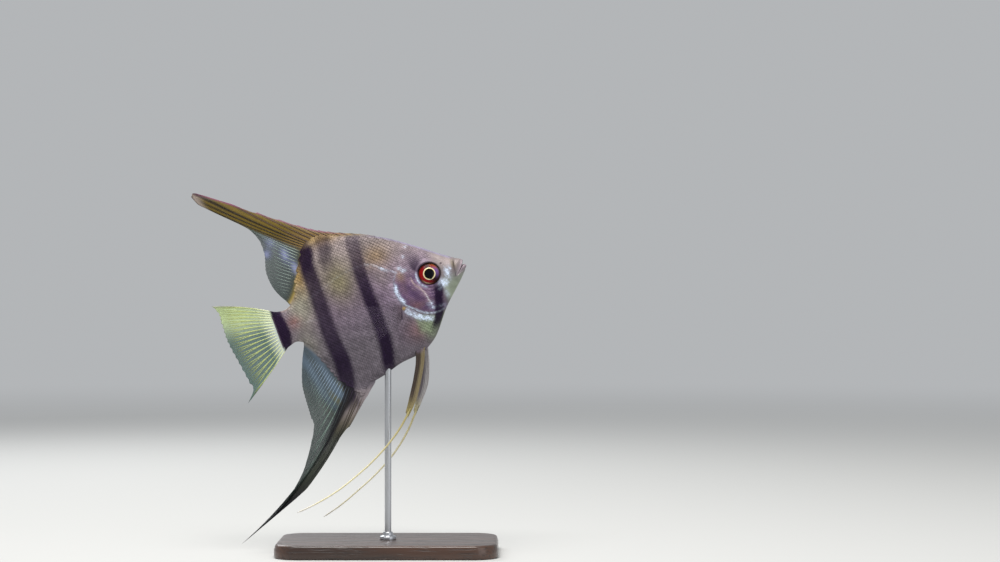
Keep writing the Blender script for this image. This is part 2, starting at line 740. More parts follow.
def bar(table, x, z, soft=0.8):
    """How dark a bar is at a side-view point: its strength inside, falling off softly past its half width."""
    rows = np.array(table)
    middle, half, strength = (curve(rows[:, [0, k]])(z) for k in (1, 2, 3))
    return strength * (1 - ramp(-soft, soft, np.abs(x - middle) - half))


# Broad washes as colour, middle x and z, width, height, share; the later ones lie over the cheek's violet
BODY_WASHES = [
    ("olive", 25, 9, 6, 8, 0.8), ("olive", 10, 9, 4, 7, 0.6), ("gold", 40.5, 13.0, 4.5, 4, 0.5),
    ("gold", 24.5, 26.8, 7, 3, 0.75), ("gold", 11.6, 16.4, 1.8, 6, 0.85), ("gold", 7, 9.5, 3, 2.6, 0.5),
    ("back", 8.5, 2, 4, 6, 0.8), ("sand", 8, 4.5, 5, 6, 0.6), ("sand", 6.5, -8, 5, 6, 0.45),
    ("rose", 4.5, 0.8, 2.6, 2.4, 0.75), ("violet", 38.2, 2, 2.6, 8, 0.15),
    ("back", 40, 5.5, 3.4, 4.5, 0.6), ("flank", 41, -16, 5, 5, 0.5), ("rose", 46, -17, 4, 4, 0.5),
]
CHEEK_WASHES = [("rose", 48.3, -8.6, 2.6, 1.5, 0.4), ("gold", 46.4, 3.2, 1.6, 2.4, 0.35)]

# Silver flecks of the head as middle x and z, width, height, strength
FLECKS = [
    (62.6, -1.4, 0.9, 1.9, 1.2), (60.1, -4.2, 1.7, 1.2, 1.7), (60.1, -8.3, 0.8, 1.6, 0.5),
    (64.0, 0.2, 0.5, 1.0, 0.7), (53.2, -9.6, 0.9, 0.8, 0.9), (51.6, 12.7, 0.5, 0.4, 0.8),
    (49.7, 9.6, 0.5, 0.5, 0.6), (48.0, 4.8, 0.9, 0.6, 0.9), (46.9, 6.2, 0.8, 0.6, 0.7),
    (53.6, -11.2, 1.0, 0.7, 0.7), (57, -11.6, 1.2, 0.6, 0.5), (52.0, 0.2, 0.6, 1.8, 0.35),
    (58.5, -5.7, 0.8, 0.6, 0.6),
]
FIN_FOOT_FOLD = [(42.6, -8.4), (42.0, -10.2), (41.6, -11.4)]
LIP_FOLD = [(65.9, 2.0), (65.6, -0.6), (65.1, -3.2)]
GILL_CORNER = [(43.9, 2.2), (43.2, -1.4), (43.9, -5.0), (45.2, -7.4)]


def washed(tint, hue, washes, x, z):
    for name, at_x, at_z, wide, tall, share in washes:
        tint = dye(tint, hue[name], share * dab(x, z, at_x, at_z, wide, tall))
    return tint


def body_ground(x, z, hue):
    """The trunk's ground colours: belly to flank to back by height, broad washes, and the fins' feet."""
    tint = dye(hue["belly"], hue["flank"], ramp(-17, 3, z))
    tint = dye(tint, hue["back"], ramp(2, 17, z))
    tint = washed(tint, hue, BODY_WASHES, x, z)
    above, under_belly = past_edges(x, z)
    tint = dye(tint, srgb(186, 158, 104), 0.6 * ramp(-1.2, 1.8, above) * ramp(44, 34, x))
    tint = dye(tint, srgb(62, 50, 34), 0.9 * ramp(0.2, 1.6, above) * ramp(23, 19, x) * ramp(9, 13, x))
    return dye(tint, srgb(142, 132, 134), 0.75 * ramp(0.2, 3, under_belly))


def head_ground(tint, x, z, hue, gill, cheek_line, cheek_share, r):
    """The head's colours over the ground: green breast, violet cheek with arcs under the eye at distance r,
    the cheek plate's beige edge, green chin, brown nostril and mauve ridge."""
    below = ramp(0.3, 1.4, -gill) * ramp(-20, -17, z) * (1 - ramp(-13, -11, z)) * ramp(45.5, 47.5, x)
    tint = dye(tint, srgb(120, 130, 108), 0.8 * below)
    tint = dye(tint, srgb(138, 154, 122), 0.7 * dab(x, z, 50.4, -18.4, 2.4, 3.6))
    head = ramp(-0.3, 0.5, gill) * ramp(41, 44, x)
    cheek = head * (1 - ramp(0.5, 5.0, z)) * (1 - ramp(57.0, 59.5, x))
    patchy = 0.5 + 0.5 * mottle(x, z, 2.2, 3)
    tint = dye(tint, dye(hue["violet"], srgb(116, 94, 108), 0.55 * patchy), 0.92 * cheek)
    tint = washed(tint, hue, CHEEK_WASHES, x, z)
    under = ramp(-0.1, -0.6, np.arctan2(z - EYE[1], x - EYE[0]) + 0.6) * cheek
    stripes = bump(r - 5.5, 0.28) + bump(r - 6.7, 0.22) + 0.7 * bump(r - 7.8, 0.2)
    tint = dye(tint, srgb(150, 128, 148), 0.6 * under * stripes)
    beige = bump(cheek_line, 0.34) * ramp(0.1, 0.26, cheek_share) * ramp(1, 0.9, cheek_share)
    tint = dye(tint, srgb(192, 170, 166), 0.75 * beige)
    tint = dye(tint, srgb(136, 126, 122), 0.8 * ramp(56, 61, x) * ramp(-4, 1, z))
    tint = dye(tint, srgb(150, 160, 140), 0.85 * ramp(58.6, 61, x) * (1 - ramp(-6, 0, z)))
    ridge = bump(np.maximum(back_line(x) - z - 0.3, 0), 0.5) * ramp(36, 46, x) * ramp(67, 64, x)
    tint = dye(tint, srgb(156, 153, 190), 0.5 * ridge)
    return dye(tint, srgb(92, 84, 56), 0.7 * dab(x, z, 65.6, 0.9, 0.75, 2.0))


def darkness(x, z, r):
    """How dark the bars, the eye's and the nostril's rims and the folds are, the darkest of them winning."""
    dark = bar(SHOULDER_BAR, x, z)
    dark = np.maximum(dark, bar(HIND_BAR, x, z, 0.9))
    dark = np.maximum(dark, bar(SHORT_BAR, x, z, 1.3))
    dark = np.maximum(dark, bar(EYE_BAR, x, z, 0.5 + 0.9 * ramp(2, 9, z)))
    dark = np.maximum(dark, bar(TAIL_BAR, x, z, 0.5))
    dark = np.maximum(dark * (1 - 0.55 * bump(r - 4.85, 0.4)), 0.6 * bump(r - 4.05, 0.26))
    dark = np.maximum(dark, 0.75 * bump(away(x, z, NOSTRIL), 0.36))
    for fold, strength, wide in ((FIN_FOOT_FOLD, 0.85, 0.32), (LIP_FOLD, 0.5, 0.3)):
        dark = np.maximum(dark, strength * bump(beside(fold, x, z, 8)[0], wide))
    return dark


def silver_glint(x, z, gill, along, cheek_line, cheek_share, r):
    """How silver the edges of the gill cover and the cheek, the eye's rear rim, the flecks and the lateral
    line are, the brightest of them winning, with ragged edges."""
    low = ramp(0.42, 0.62, along)
    ends = ramp(0.12, 0.3, along) * (1 - 0.8 * ramp(0.86, 0.97, along))
    rim = bump(gill - 0.15, 0.36) * (0.35 + 0.65 * low) * ends
    white, _ = beside(WHITE_BAND, x, z, 24)
    glint = np.maximum(0.95 * rim, 1.35 * bump(white, 0.72))
    corner, share = beside(GILL_CORNER, x, z, 16)
    glint = np.maximum(glint, 1.3 * bump(corner, 0.7) * ramp(0, 0.3, share) * ramp(1, 0.75, share))
    behind = np.cos(np.arctan2(z - EYE[1], x - EYE[0]) + np.radians(160))
    glint = np.maximum(glint, 0.8 * bump(r - 4.85, 0.28) * ramp(0.6, 0.9, behind))
    glint = np.maximum(glint, 0.42 * bump(cheek_line, 0.22) * ramp(0.5, 0.8, cheek_share))
    for *place, strength in FLECKS:
        glint = np.maximum(glint, strength * dab(x, z, *place))
    upper, _ = beside(UPPER_LINE, x, z)
    lower, _ = beside(LOWER_LINE, x, z, 16)
    line = (0.06 + 0.46 * ramp(34, 41, x)) * bump(upper, 0.3) + 0.08 * bump(lower, 0.25)
    return np.maximum(glint, line) * (0.78 + 0.34 * mottle(x, z, 0.8, 31) + 0.2 * mottle(x, z, 2.0, 32))


def markings(x, z):
    """Tint and glint of the skin and the scales at side-view points: the ground colours, clouded and shaded,
    then the dark marks, a gold fleck at the fin's foot, and the silver, which the dark marks dim."""
    hue = palette()
    gill, along = beside(GILL_EDGE, x, z)
    cheek_line, cheek_share = beside(CHEEK_EDGE, x, z)
    r = away(x, z, EYE)
    tint = head_ground(body_ground(x, z, hue), x, z, hue, gill, cheek_line, cheek_share, r)
    cloud = 0.10 * mottle(x, z, 3.6, 5) + 0.07 * mottle(x, z, 1.5, 8)
    nape = 0.34 * ramp(7, 15, z) * ramp(33, 38, x) * ramp(50, 44, x)
    shoulder = 0.16 * ramp(-14, -4, z) * ramp(8, -2, z) * ramp(36, 39, x) * ramp(47, 42, x)
    for light in (1 + cloud, 1 - nape, 1 + shoulder):
        tint = tint * light[..., None]
    dark = darkness(x, z, r)
    tint = dye(tint, hue["bar"], np.clip(dark, 0, 1) * 0.95)
    tint = dye(tint, srgb(196, 160, 52), bump(away(x, z, (43.6, -8.1)), 0.5))
    return tint, silver_glint(x, z, gill, along, cheek_line, cheek_share, r) * (1 - 0.7 * dark)


# ---------------------------------------------------------------------------------------------------------
# Skin, scales and eyes

AROUND = 320
TRUNK_RINGS, HEAD_RINGS = 124, 112
FLESH = ("head", "upper_lip", "lower_jaw", "trunk", "tail_stalk", "gill_cover_right", "gill_cover_left")


def ring_shares():
    """Share of the way from the widest line to the edge, and side, round one ring. Part sine, part even."""
    angle = 2 * np.pi * np.arange(AROUND) / AROUND
    up = np.sin(angle)
    share = 0.55 * up + 0.45 * np.arcsin(up) / (np.pi / 2)
    return share, np.where(np.cos(angle) >= 0, 1.0, -1.0)


def make_skin():
    """Upright rings from the root of the tail to the snout, drawn together beside the eye's rim so that it
    comes out round, then leaning rings over the lips and on into a closed mouth."""
    coat = size("coat_depth")
    share, side = ring_shares()
    head_from = 40
    x = np.linspace(-2.75, head_from, TRUNK_RINGS, endpoint=False)
    x = np.concatenate([x, np.linspace(head_from, SNOUT_FROM, HEAD_RINGS)])
    x = np.repeat(x[:, None], AROUND, 1)
    middle, top, bottom = widest_line(x), back_line(x) - coat, belly_line(x) + coat
    z = middle + np.where(share > 0, (top - middle) * share, (middle - bottom) * share)
    r = away(x, z, EYE)
    gather = 1 - 0.62 * (r - 4.0) / np.maximum(r, 0.1) * bump(r - 4.0, 1.15)
    x, z = EYE[0] + (x - EYE[0]) * gather, EYE[1] + (z - EYE[1]) * gather
    plain = np.maximum(plain_flank(x, z) - coat, 0.01)
    y = blend(plain, modelled(x, plain, z), np.clip(plain / 0.7 - 0.3, 0, 1))
    trunk = np.stack([x, y * side * (np.abs(share) < JUST_INSIDE), z], -1)

    q = np.concatenate([1 - np.linspace(1, 0, 41)[1:] ** 1.5, np.linspace(1.012, 1.2, 9), [1.4, 1.7, 1.99]])
    snout, swell = snout_rings(q, share, side)
    out = ring_normals(np.concatenate([trunk[-2:], snout]))[2:]
    out *= np.sign(np.mean(out[:30] * (snout[:30] - snout[:30].mean(1, keepdims=True))))
    snout = snout + swell * out
    rings = np.concatenate([trunk, snout])

    tint, glint = markings(rings[..., 0], rings[..., 2])
    q = np.concatenate([np.zeros(len(trunk)), q])[:, None] + np.zeros(AROUND)
    tint = dye(tint, srgb(146, 132, 142), ramp(0.8, 0.93, q) * 0.6)
    tint = dye(tint, srgb(40, 22, 26), ramp(1.06, 1.2, q))
    satin = skin_finish("skin satin", False)
    make_piece("skin", to_row(rings), closed_tube(rings), satin, "skin", FLESH, tint=tint, glint=glint)


def unwrap(x, z):
    """Where a side-view point lies on the side's unwrap: x along the body, and the arc length of the section
    between its widest line and the point, summed over straight steps."""
    steps = np.linspace(0, 1, 24)
    middle = widest_line(x)
    heights = middle[:, None] + (z - middle)[:, None] * steps
    depth = plain_flank(np.repeat(x[:, None], len(steps), 1), heights)
    arc = np.hypot(np.diff(heights), np.diff(depth)).sum(1) * np.sign(z - middle)
    return x, arc


def past_edges(x, z):
    """How far a side-view point lies outside the back's line and outside the belly's, square to each."""
    lines = (back_line, belly_line)
    steep_back, steep_belly = ((line(x + 0.2) - line(x - 0.2)) / 0.4 for line in lines)
    return (z - back_line(x)) / np.hypot(1, steep_back), (belly_line(x) - z) / np.hypot(1, steep_belly)


def coat_bed(x, z):
    """Half thickness under the scales: the larger of the flank and the feet of the fins, with the change
    between them rounded: half their sum plus half the root of their squared difference and the squared
    rounding. A foot is the web's own half thickness and a bell of the distance outside the fin's roots."""
    above, below = past_edges(x, z)
    web = size("web_thickness") / 2
    back = web + 0.5 * bump(np.maximum(above + 0.9, 0), 2.2)
    lobe = 0.36 * ramp(15, 18, x) * (1 - ramp(4, 7, below))
    belly = web + np.maximum(0.5 * bump(np.maximum(below + 0.9, 0), 2.2), lobe)
    foot = np.where(z > 0, back * (x > 6) * (x < 43.6), belly * (x > 6) * (x < 25.6))
    body = flank(x, z)
    rounding = 0.16  # how softly the body gives way to the foot
    return (body + foot + np.hypot(body - foot, rounding)) / 2


def foot_room(x):
    """How far the scales may climb the feet of the back and anal fins, within the outline of the spines."""
    crest = curve(np.array(DORSAL_TIPS[:5])[::-1, 1:])(x)
    keel = curve(np.array(ANAL_TIPS[:5])[::-1, 1:])(x)
    back = np.minimum(crest - back_line(x) - 0.7, 2.1)
    belly = np.minimum(belly_line(x) - keel - 0.8, 1.6 + 4 * bump(x - 20.6, 3.4))
    back = back * ramp(6.5, 9, x) * (x < 41)
    belly = belly * ramp(6, 9, x) * (x < 23.6)
    return np.maximum(back, 0), np.maximum(belly, 0)


def counted(density, at):
    """How many rows of scales lie before each place: the density summed up by trapezoids."""
    return np.concatenate([[0], np.cumsum((density[1:] + density[:-1]) / 2 * np.diff(at))])


def scale_roots(region):
    """Places for scales in staggered rows, closer together on the head and towards the tail and the edges.
    Returns x, z and the spacing along the row there. A scale is kept where its root, its widest part and its
    free edge all lie inside the outline or on the foot of a fin."""
    finer = {"trunk": 1.0, "head": 0.64}[region]
    spacing_x, spacing_z = finer * size("scale_length"), finer * size("scale_height")
    fine_x, fine_z = np.linspace(-2, 62, 800), np.linspace(-36, 29, 800)
    density_x = 1 / (spacing_x * (0.66 + 0.34 * ramp(0, 16, fine_x) - 0.12 * ramp(38, 50, fine_x)))
    density_z = 1 / (spacing_z * (1 - 0.22 * ramp(14, 27, np.abs(fine_z))))
    count_x, count_z = counted(density_x, fine_x), counted(density_z, fine_z)
    i, j = np.meshgrid(np.arange(int(count_x[-1])), np.arange(int(count_z[-1])), indexing="ij")
    x = np.interp((i + 0.5 * (j % 2)).ravel(), count_x, fine_x)
    z = np.interp(j.ravel(), count_z, fine_z)
    spacing = np.interp(x, fine_x, 1 / density_x)
    gill, along = beside(GILL_EDGE, x, z)
    r = away(x, z, EYE)
    inside = np.ones(len(x), bool)
    clear = 0.14  # between a scale and the outline
    for ahead, half in ((0.56, 0.44), (-0.24, 0.54), (-0.78, 0.1)):
        for up in (-1, 1):
            above, below = past_edges(x + ahead * spacing, z + up * half * spacing)
            back, belly = foot_room(x + ahead * spacing)
            inside &= (above < back - clear) & (below < belly - clear)
    if region == "head":
        cheek, _ = beside(CHEEK_EDGE, x, z)
        plated = (gill > 0.55) & (x > 41.5) & (z < 4.5) & (r > 5.6) & (x < 58.2) & (np.abs(cheek) > 0.3)
        nape = (z >= 4.5) & (x > 47.2) & (x < 59) & (r > 5.9) & (along < 0.2)
        keep = inside & (plated | nape)
    else:
        covered = (gill > -0.45) & (x > 41.5)
        foot = np.hypot((x - PECTORAL_FOOT[0]) / 1.6, (z - PECTORAL_FOOT[1]) / 3.0)
        keep = inside & ~covered & (x < 49.2) & (x > -1.6) & (foot > 1) & ~((x > 48) & (z > 4.5))
        keep |= inside & (x >= 49.2) & (x < 57.5) & (z < -13) & (gill < -0.9)
    return x[keep], z[keep], spacing[keep]


SCALE_ROWS, SCALE_COLUMNS = (0, 0.35, 0.6, 0.8, 0.94, 1), 7


def scale_grid():
    """One scale's own grid: a runs from its hidden root to its free edge and b across it. The last column is
    the keel, a line of points under the scale's middle."""
    across = np.append(np.linspace(-1, 1, SCALE_COLUMNS), 0)
    return np.meshgrid(SCALE_ROWS, across, indexing="ij")


def scale_faces():
    """Quads over a scale's top, two strips of quads that meet along the keel under it, and a flat face at its
    root and its free edge."""
    index = np.arange(len(SCALE_ROWS) * (SCALE_COLUMNS + 1)).reshape(-1, SCALE_COLUMNS + 1)
    top, keel = index[:, :-1], index[:, -1]
    over = np.stack([top[:-1, :-1], top[:-1, 1:], top[1:, 1:], top[1:, :-1]], -1).reshape(-1, 4)
    sides = ((top[:, 0], keel), (keel, top[:, -1]))
    under = [np.stack([left[:-1], left[1:], right[1:], right[:-1]], 1) for left, right in sides]
    root = np.append(top[0, ::-1], keel[0])
    free = np.append(top[-1], keel[-1])
    return [over, *under, root[None], free[None]]


SCALE_LENGTH, ROOT_SHARE = 1.34, 0.42  # a scale's length by its spacing, and where its root point lies on it
KEEL_DROP = 1.8  # how far a scale's keel lies under its middle, in scale lifts
CHART_PATCH = 0.0015  # half a scale's patch on the unwrap


def scale_points(x, z, spacing, side):
    """Every scale is a shallow bowl turned over: it starts under the one before it, widens along a quarter
    sine, ends in a half ellipse that stands off the skin, and follows the coat's bed at each of its points.
    Returns side-view places and the points themselves, as scales by steps along by steps across."""
    a, b = scale_grid()
    each = spacing[:, None, None]
    round_end = np.sqrt(np.maximum(1 - (np.maximum(a - 0.6, 0) / 0.41) ** 2, 0))
    taper = round_end * (0.8 + 0.2 * np.sin(np.pi / 2 * np.minimum(a / 0.6, 1)))
    wide = 1.06 * size("scale_height") / size("scale_length") * each
    px = x[:, None, None] + SCALE_LENGTH * each * (ROOT_SHARE - a)
    pz = z[:, None, None] + wide * b * taper
    bowl = -0.30 + 1.2 * a + 0.3 * (1 - b**2) - 0.3 * np.abs(b) ** 3 * (1 - a)
    bowl[:, -1] -= KEEL_DROP
    stand = size("scale_lift") * bowl * (each / 1.4) ** 0.5
    step = 0.06
    base = coat_bed(px, pz)
    slope_x = (coat_bed(px + step, pz) - base) / step
    slope_z = (coat_bed(px, pz + step) - base) / step
    out = unit(np.stack([-slope_x, np.ones_like(base), -slope_z], -1))
    points = np.stack([px, base, pz], -1) + out * stand[..., None]
    points[..., 1] *= side
    return px, pz, points


def scale_chart(x, z, side):
    """A patch for each scale at its root's place on the unwrap, the fish's two sides beside each other."""
    a, b = scale_grid()
    chart_x, chart_z = unwrap(x, z)
    u = 0.03 + (chart_x + 3) / 64 * 0.44 + (0.5 if side > 0 else 0)
    root = np.stack([u, 0.5 + chart_z / 66], 1)[:, None, None]
    return root + np.stack([a * 2 - 1, b], -1)[None] * CHART_PATCH


def make_scales(name, side, region):
    """The scales of one region of one side in one mesh, each a little out of line. A scale's tint is half
    that of its root and half that of each point, and its free edge is marked for the finish."""
    draw = np.random.default_rng(11 if side > 0 else 7)
    x, z, spacing = scale_roots(region)
    x = x + draw.normal(0, 0.03, len(x)) * spacing
    z = z + draw.normal(0, 0.02, len(z)) * spacing
    a, b = scale_grid()
    px, pz, points = scale_points(x, z, spacing, side)
    one = outward(points[len(x) // 2], scale_faces())
    tint, glint = markings(np.repeat(x, a.size), np.repeat(z, a.size))
    exact, sharp = markings(px.ravel(), pz.ravel())
    edge = np.maximum(ramp(0.78, 1.0, a), ramp(0.6, 1.0, np.abs(b)) * ramp(0.3, 0.7, a))
    make_piece(
        name,
        to_row(points),
        many(one, len(x), a.size),
        shared("scales satin", skin_finish, True),
        "skin",
        (),
        coordinates=scale_chart(x, z, side),
        uv_name="OFBake",
        tint=(tint + exact) / 2,
        glint=(glint + sharp) / 2,
        edge=np.broadcast_to(edge, px.shape),
        own=np.repeat(draw.random(len(x)), a.size),
    )


def eye_finish(name):
    """Iris and pupil by the distance u from the middle of the eye in its own map: a black pupil, a pale ring,
    an iris of fine spokes with its painted colours, and a dark rim, all under one clear gloss."""
    paint = Finish(name)
    eye = palette("eye_colours")
    place = paint.node("ShaderNodeUVMap", {"uv_map": "map"}, {})
    u = paint.node("ShaderNodeSeparateXYZ", {}, {0: place})
    fine = paint.noise(0.00022, detail=3.0)
    u = u + (fine - 0.5) * 0.022
    hue = paint.shade(paint.attribute("tint", "Color"), 0.55 + fine * 0.8)
    hue = paint.mix(u.step(0.86, 0.94) * 0.45, hue, eye["rim"])
    hue = paint.mix(u.step(0.965, 0.995), hue, srgb(44, 34, 30))
    hue = paint.mix(1 - u.step(0.53, 0.57), hue, eye["ring"])
    hue = paint.mix(1 - u.step(0.47, 0.50), hue, srgb(206, 184, 122))
    pupil = 1 - (u + paint.attribute("ring")).step(0.435, 0.465)
    hue = paint.mix(pupil, hue, (0.002, 0.002, 0.003))
    return paint.surface(
        base_color=hue,
        metallic=0.12 * (1 - pupil),
        roughness=0.34 - pupil * 0.1,
        specular_ior_level=0.05,
        coat_weight=0.4,
        coat_roughness=0.02,
        coat_ior=1.24,
    )


def make_eye(name, side):
    """A closed ball, flattened along its axis and tipped to lie in the orbit's flat: rings of latitude from
    the middle of the cornea to the back, with a slight dimple between the pupil and the rim."""
    rings, around, pole = 64, 96, 0.004
    eye = palette("eye_colours")
    tilt = np.linspace(pole, np.pi - pole, rings)[:, None]
    turn = turns(around)[None]
    flat = np.sin(tilt) ** 0.94
    u = np.where(tilt < np.pi / 2, flat, 2 - flat) + 0 * turn
    x, z = (size("eye_radius") * flat * way(turn) for way in (np.cos, np.sin))
    dome = size("eye_depth") * np.cos(tilt) - 0.05 * bump(u - 0.66, 0.14) + 0.04 * bump(u - 0.5, 0.06)
    y = EYE_Y + dome - ORBIT_LEAN[0] * x - ORBIT_LEAN[1] * z
    points = np.stack([EYE[0] + x, side * y, EYE[1] + z], -1)
    ahead, up, round_by = np.cos(turn) + 0 * u, np.sin(turn) + 0 * u, np.arctan2(np.sin(turn), np.cos(turn))
    tint = dye(eye["red"], eye["violet"], ramp(0.35, 0.85, ahead))
    upper_front = ramp(0.1, 0.7, up) * ramp(-0.2, 0.35, ahead)
    tint = dye(tint, eye["orange"], upper_front * (0.35 + 0.55 * ramp(0.66, 0.8, u)))
    tint = dye(tint, eye["rim"], 0.6 * ramp(0.8, 0.88, u) * ramp(-0.2, 0.5, ahead))
    dark = np.maximum(bump(round_by - np.radians(88), 0.66), bump(round_by + np.radians(62), 0.72))
    tint = dye(tint, eye["dark"], 0.92 * dark)
    tint = dye(tint, eye["ring"], 0.7 * bump(round_by + np.radians(128), 0.4) * ramp(0.78, 0.86, u))
    notch = -0.06 * bump(round_by + np.radians(90), 0.3) + 0 * u
    make_piece(
        f"{name}_ball",
        to_row(points),
        closed_tube(points),
        shared("eye gloss", eye_finish),
        "eye",
        (name,),
        coordinates=np.stack([u, 0 * u], -1),
        tint=tint,
        ring=notch,
    )


# ---------------------------------------------------------------------------------------------------------
# Fins


class Fan:
    """A fin as a surface of two parameters: the ray's number, 0 to `last`, and the share r of the way along
    it. `at` gives its points."""

    def __init__(self, last, at):
        self.last = last
        self.at = at

    def normal(self, ray, r):
        """Unit normal, from the cross of a short step along the ray and one across it."""
        step, aside = 0.02, 0.1
        along = self.at(ray, np.minimum(r + step, 1)) - self.at(ray, np.maximum(r - step, 0))
        low, high = np.clip(ray - aside, 0, self.last), np.clip(ray + aside, 0, self.last)
        return unit(np.cross(along, self.at(high, r) - self.at(low, r)))

    def length(self, ray):
        """How long a ray is, straight from root to tip in the side view."""
        return np.linalg.norm((self.at(ray, 1.0) - self.at(ray, 0.0))[..., [0, 2]], axis=-1)


def rayed_fan(last, roots, tips, bend, lean):
    """A fan whose rays are parabolas from root to tip, each bent at its middle by a share of its length, and
    which leans out to one side by a distance of its own."""

    def at(ray, r):
        a, b = roots(ray), tips(ray)
        run = b - a
        middle = (a + b) / 2 + np.stack([-run[..., 1], run[..., 0]], -1) * np.asarray(bend(ray))[..., None]
        t = np.asarray(r)[..., None]
        flat = (1 - t) ** 2 * a + 2 * t * (1 - t) * middle + t**2 * b
        return np.stack([flat[..., 0], lean(ray, r), flat[..., 1]], -1)

    return Fan(last, at)


def tips_through(table):
    """Where rays end, from a table of ray number, x and z."""
    rows = np.array(table, float)
    x, z = curve(rows[:, [0, 1]]), curve(rows[:, [0, 2]])
    return lambda ray: np.stack([x(ray), z(ray)], -1)


def body_tint(at):
    """The body's own colour beside points of a fin."""
    return markings(at[..., 0], at[..., 2])[0]


def front_and_back(values):
    """Values of a sheet's one face, and of its other face in turned order."""
    return np.concatenate([values, values[:, ::-1]], 1)


def make_web(name, fan, reach, paint, slot, per_ray=4, rows=40, foot=0.4):
    """The web of a fin as a closed sheet: the fan's surface, drawn out to `reach` of each ray, with half its
    thickness to either side, which grows to `foot` where it meets the body. `paint` gives tint and cover."""
    columns = int(round(fan.last * per_ray)) + 1
    ray, r = np.meshgrid(np.linspace(0, fan.last, columns), np.linspace(0, 1, rows), indexing="ij")
    r = r * reach(ray)
    middle = fan.at(ray, r)
    along = np.linalg.norm(middle - middle[:, :1], axis=-1)
    half = fan.normal(ray, r) * (size("web_thickness") / 2 + foot * bump(along, 2.2))[..., None]
    tint, cover = paint(ray, r, middle)
    rings = np.concatenate([middle + half, (middle - half)[:, ::-1]], 1)
    make_piece(
        f"{name}_web",
        to_row(rings),
        closed_tube(rings),
        shared("fin web", fin_finish),
        slot,
        (name,),
        coordinates=front_and_back(np.stack([ray, r * 10], -1)),
        tint=front_and_back(tint),
        cover=front_and_back(cover),
    )


def threads_on(fan, ray, r, radius, sides):
    """Tubes lying in a fan, one to each row of `ray` and `r`, which hold the ray number and the share along
    it at each step: rings about the fan's surface point, in the plane of its normal and the one across."""
    middle = fan.at(ray, r)
    out = fan.normal(ray, r)
    across = np.cross(out, unit(np.gradient(middle, axis=1)))
    return tubes_about(middle, out, across, radius, sides)


def branching_rays(first, last, count, reach, split=(0.42, 0.72), spread=0.30, steps=14):
    """Stems that part in two at the first split and in four at the second, their branches opening with the
    way past it. Returns the ray number, share along and relative thickness at each step of each stretch."""
    stems = np.linspace(first, last, count)
    sides = (-1, 1)
    stretches = (
        (0.0, split[0] + 0.03, [(0, 0)], 1.0, 0.72),
        (split[0], split[1] + 0.03, [(twin, 0) for twin in sides], 0.66, 0.5),
        (split[1], 1.0, [(twin, branch) for twin in sides for branch in sides], 0.46, 0.2),
    )
    rays, shares, thick = [], [], []
    for start, end, branches, thick_from, thick_to in stretches:
        share = np.linspace(start, end, steps)
        opened = ramp(split[0] - 0.02, 1.15, share)
        again = ramp(split[1] - 0.02, 1.2, share)
        for twin, branch in branches:
            shift = twin * opened * spread + branch * again * spread * 0.6
            rays.append(np.clip(stems[:, None] + shift[None], first, last))
            shares.append(np.repeat(share[None], count, 0))
            thick.append(np.repeat(np.linspace(thick_from, thick_to, steps)[None], count, 0))
    ray, share = np.concatenate(rays), np.concatenate(shares)
    return ray, share * reach(ray), np.concatenate(thick)


def make_rays(name, fan, groups, paint, slot):
    """All rays of a fin in one mesh. `groups` are (ray, share, radius in mm) arrays of threads."""
    sides = 6
    points, faces, tints, covers, start = [], [], [], [], 0
    for ray, r, radius in groups:
        tube = threads_on(fan, ray, r, radius, sides)
        copies, steps = ray.shape
        faces += [f + start for f in many(closed_tube(tube[copies // 2]), copies, steps * sides)]
        tint, cover = paint(ray, r, tube.mean(2))
        tints.append(np.repeat(tint.reshape(-1, 3), sides, 0))
        covers.append(np.repeat((cover + 0 * r).ravel(), sides))
        points.append(tube.reshape(-1, 3))
        start += copies * steps * sides
    paints = {"tint": np.concatenate(tints), "cover": np.concatenate(covers)}
    finish = shared("fin rays", ray_finish)
    make_piece(f"{name}_rays", to_row(np.concatenate(points)), faces, finish, slot, (), **paints)


def edge_roots(edge, front_x, spine_x, rear_x, spines, rays, inset):
    """Where the rays of an unpaired fin start: spines evenly along x, then soft rays evenly along the
    body's edge, all of them a little inside it."""
    fine = np.linspace(spine_x, rear_x, 300)
    arc = np.concatenate([[0], np.cumsum(np.hypot(np.diff(fine), np.diff(edge(fine))))])

    def roots(ray):
        front = front_x + (spine_x - front_x) * ray / (spines - 1)
        rear = np.interp((ray - spines + 1) / (rays - spines), arc / arc[-1], fine)
        x = np.where(ray <= spines - 1, front, rear)
        steep = (edge(x + 0.1) - edge(x - 0.1)) / 0.2
        scale = inset / np.hypot(1, steep)
        return np.stack([x + steep * scale, edge(x) - scale], -1)

    return roots


def spine_threads(count, steps=12):
    """Spines: straight threads that taper to a point."""
    ray, r = np.meshgrid(np.arange(float(count)), np.linspace(0, 1, steps), indexing="ij")
    return ray, r, size("spine_radius") * (1.03 - r) ** 0.8


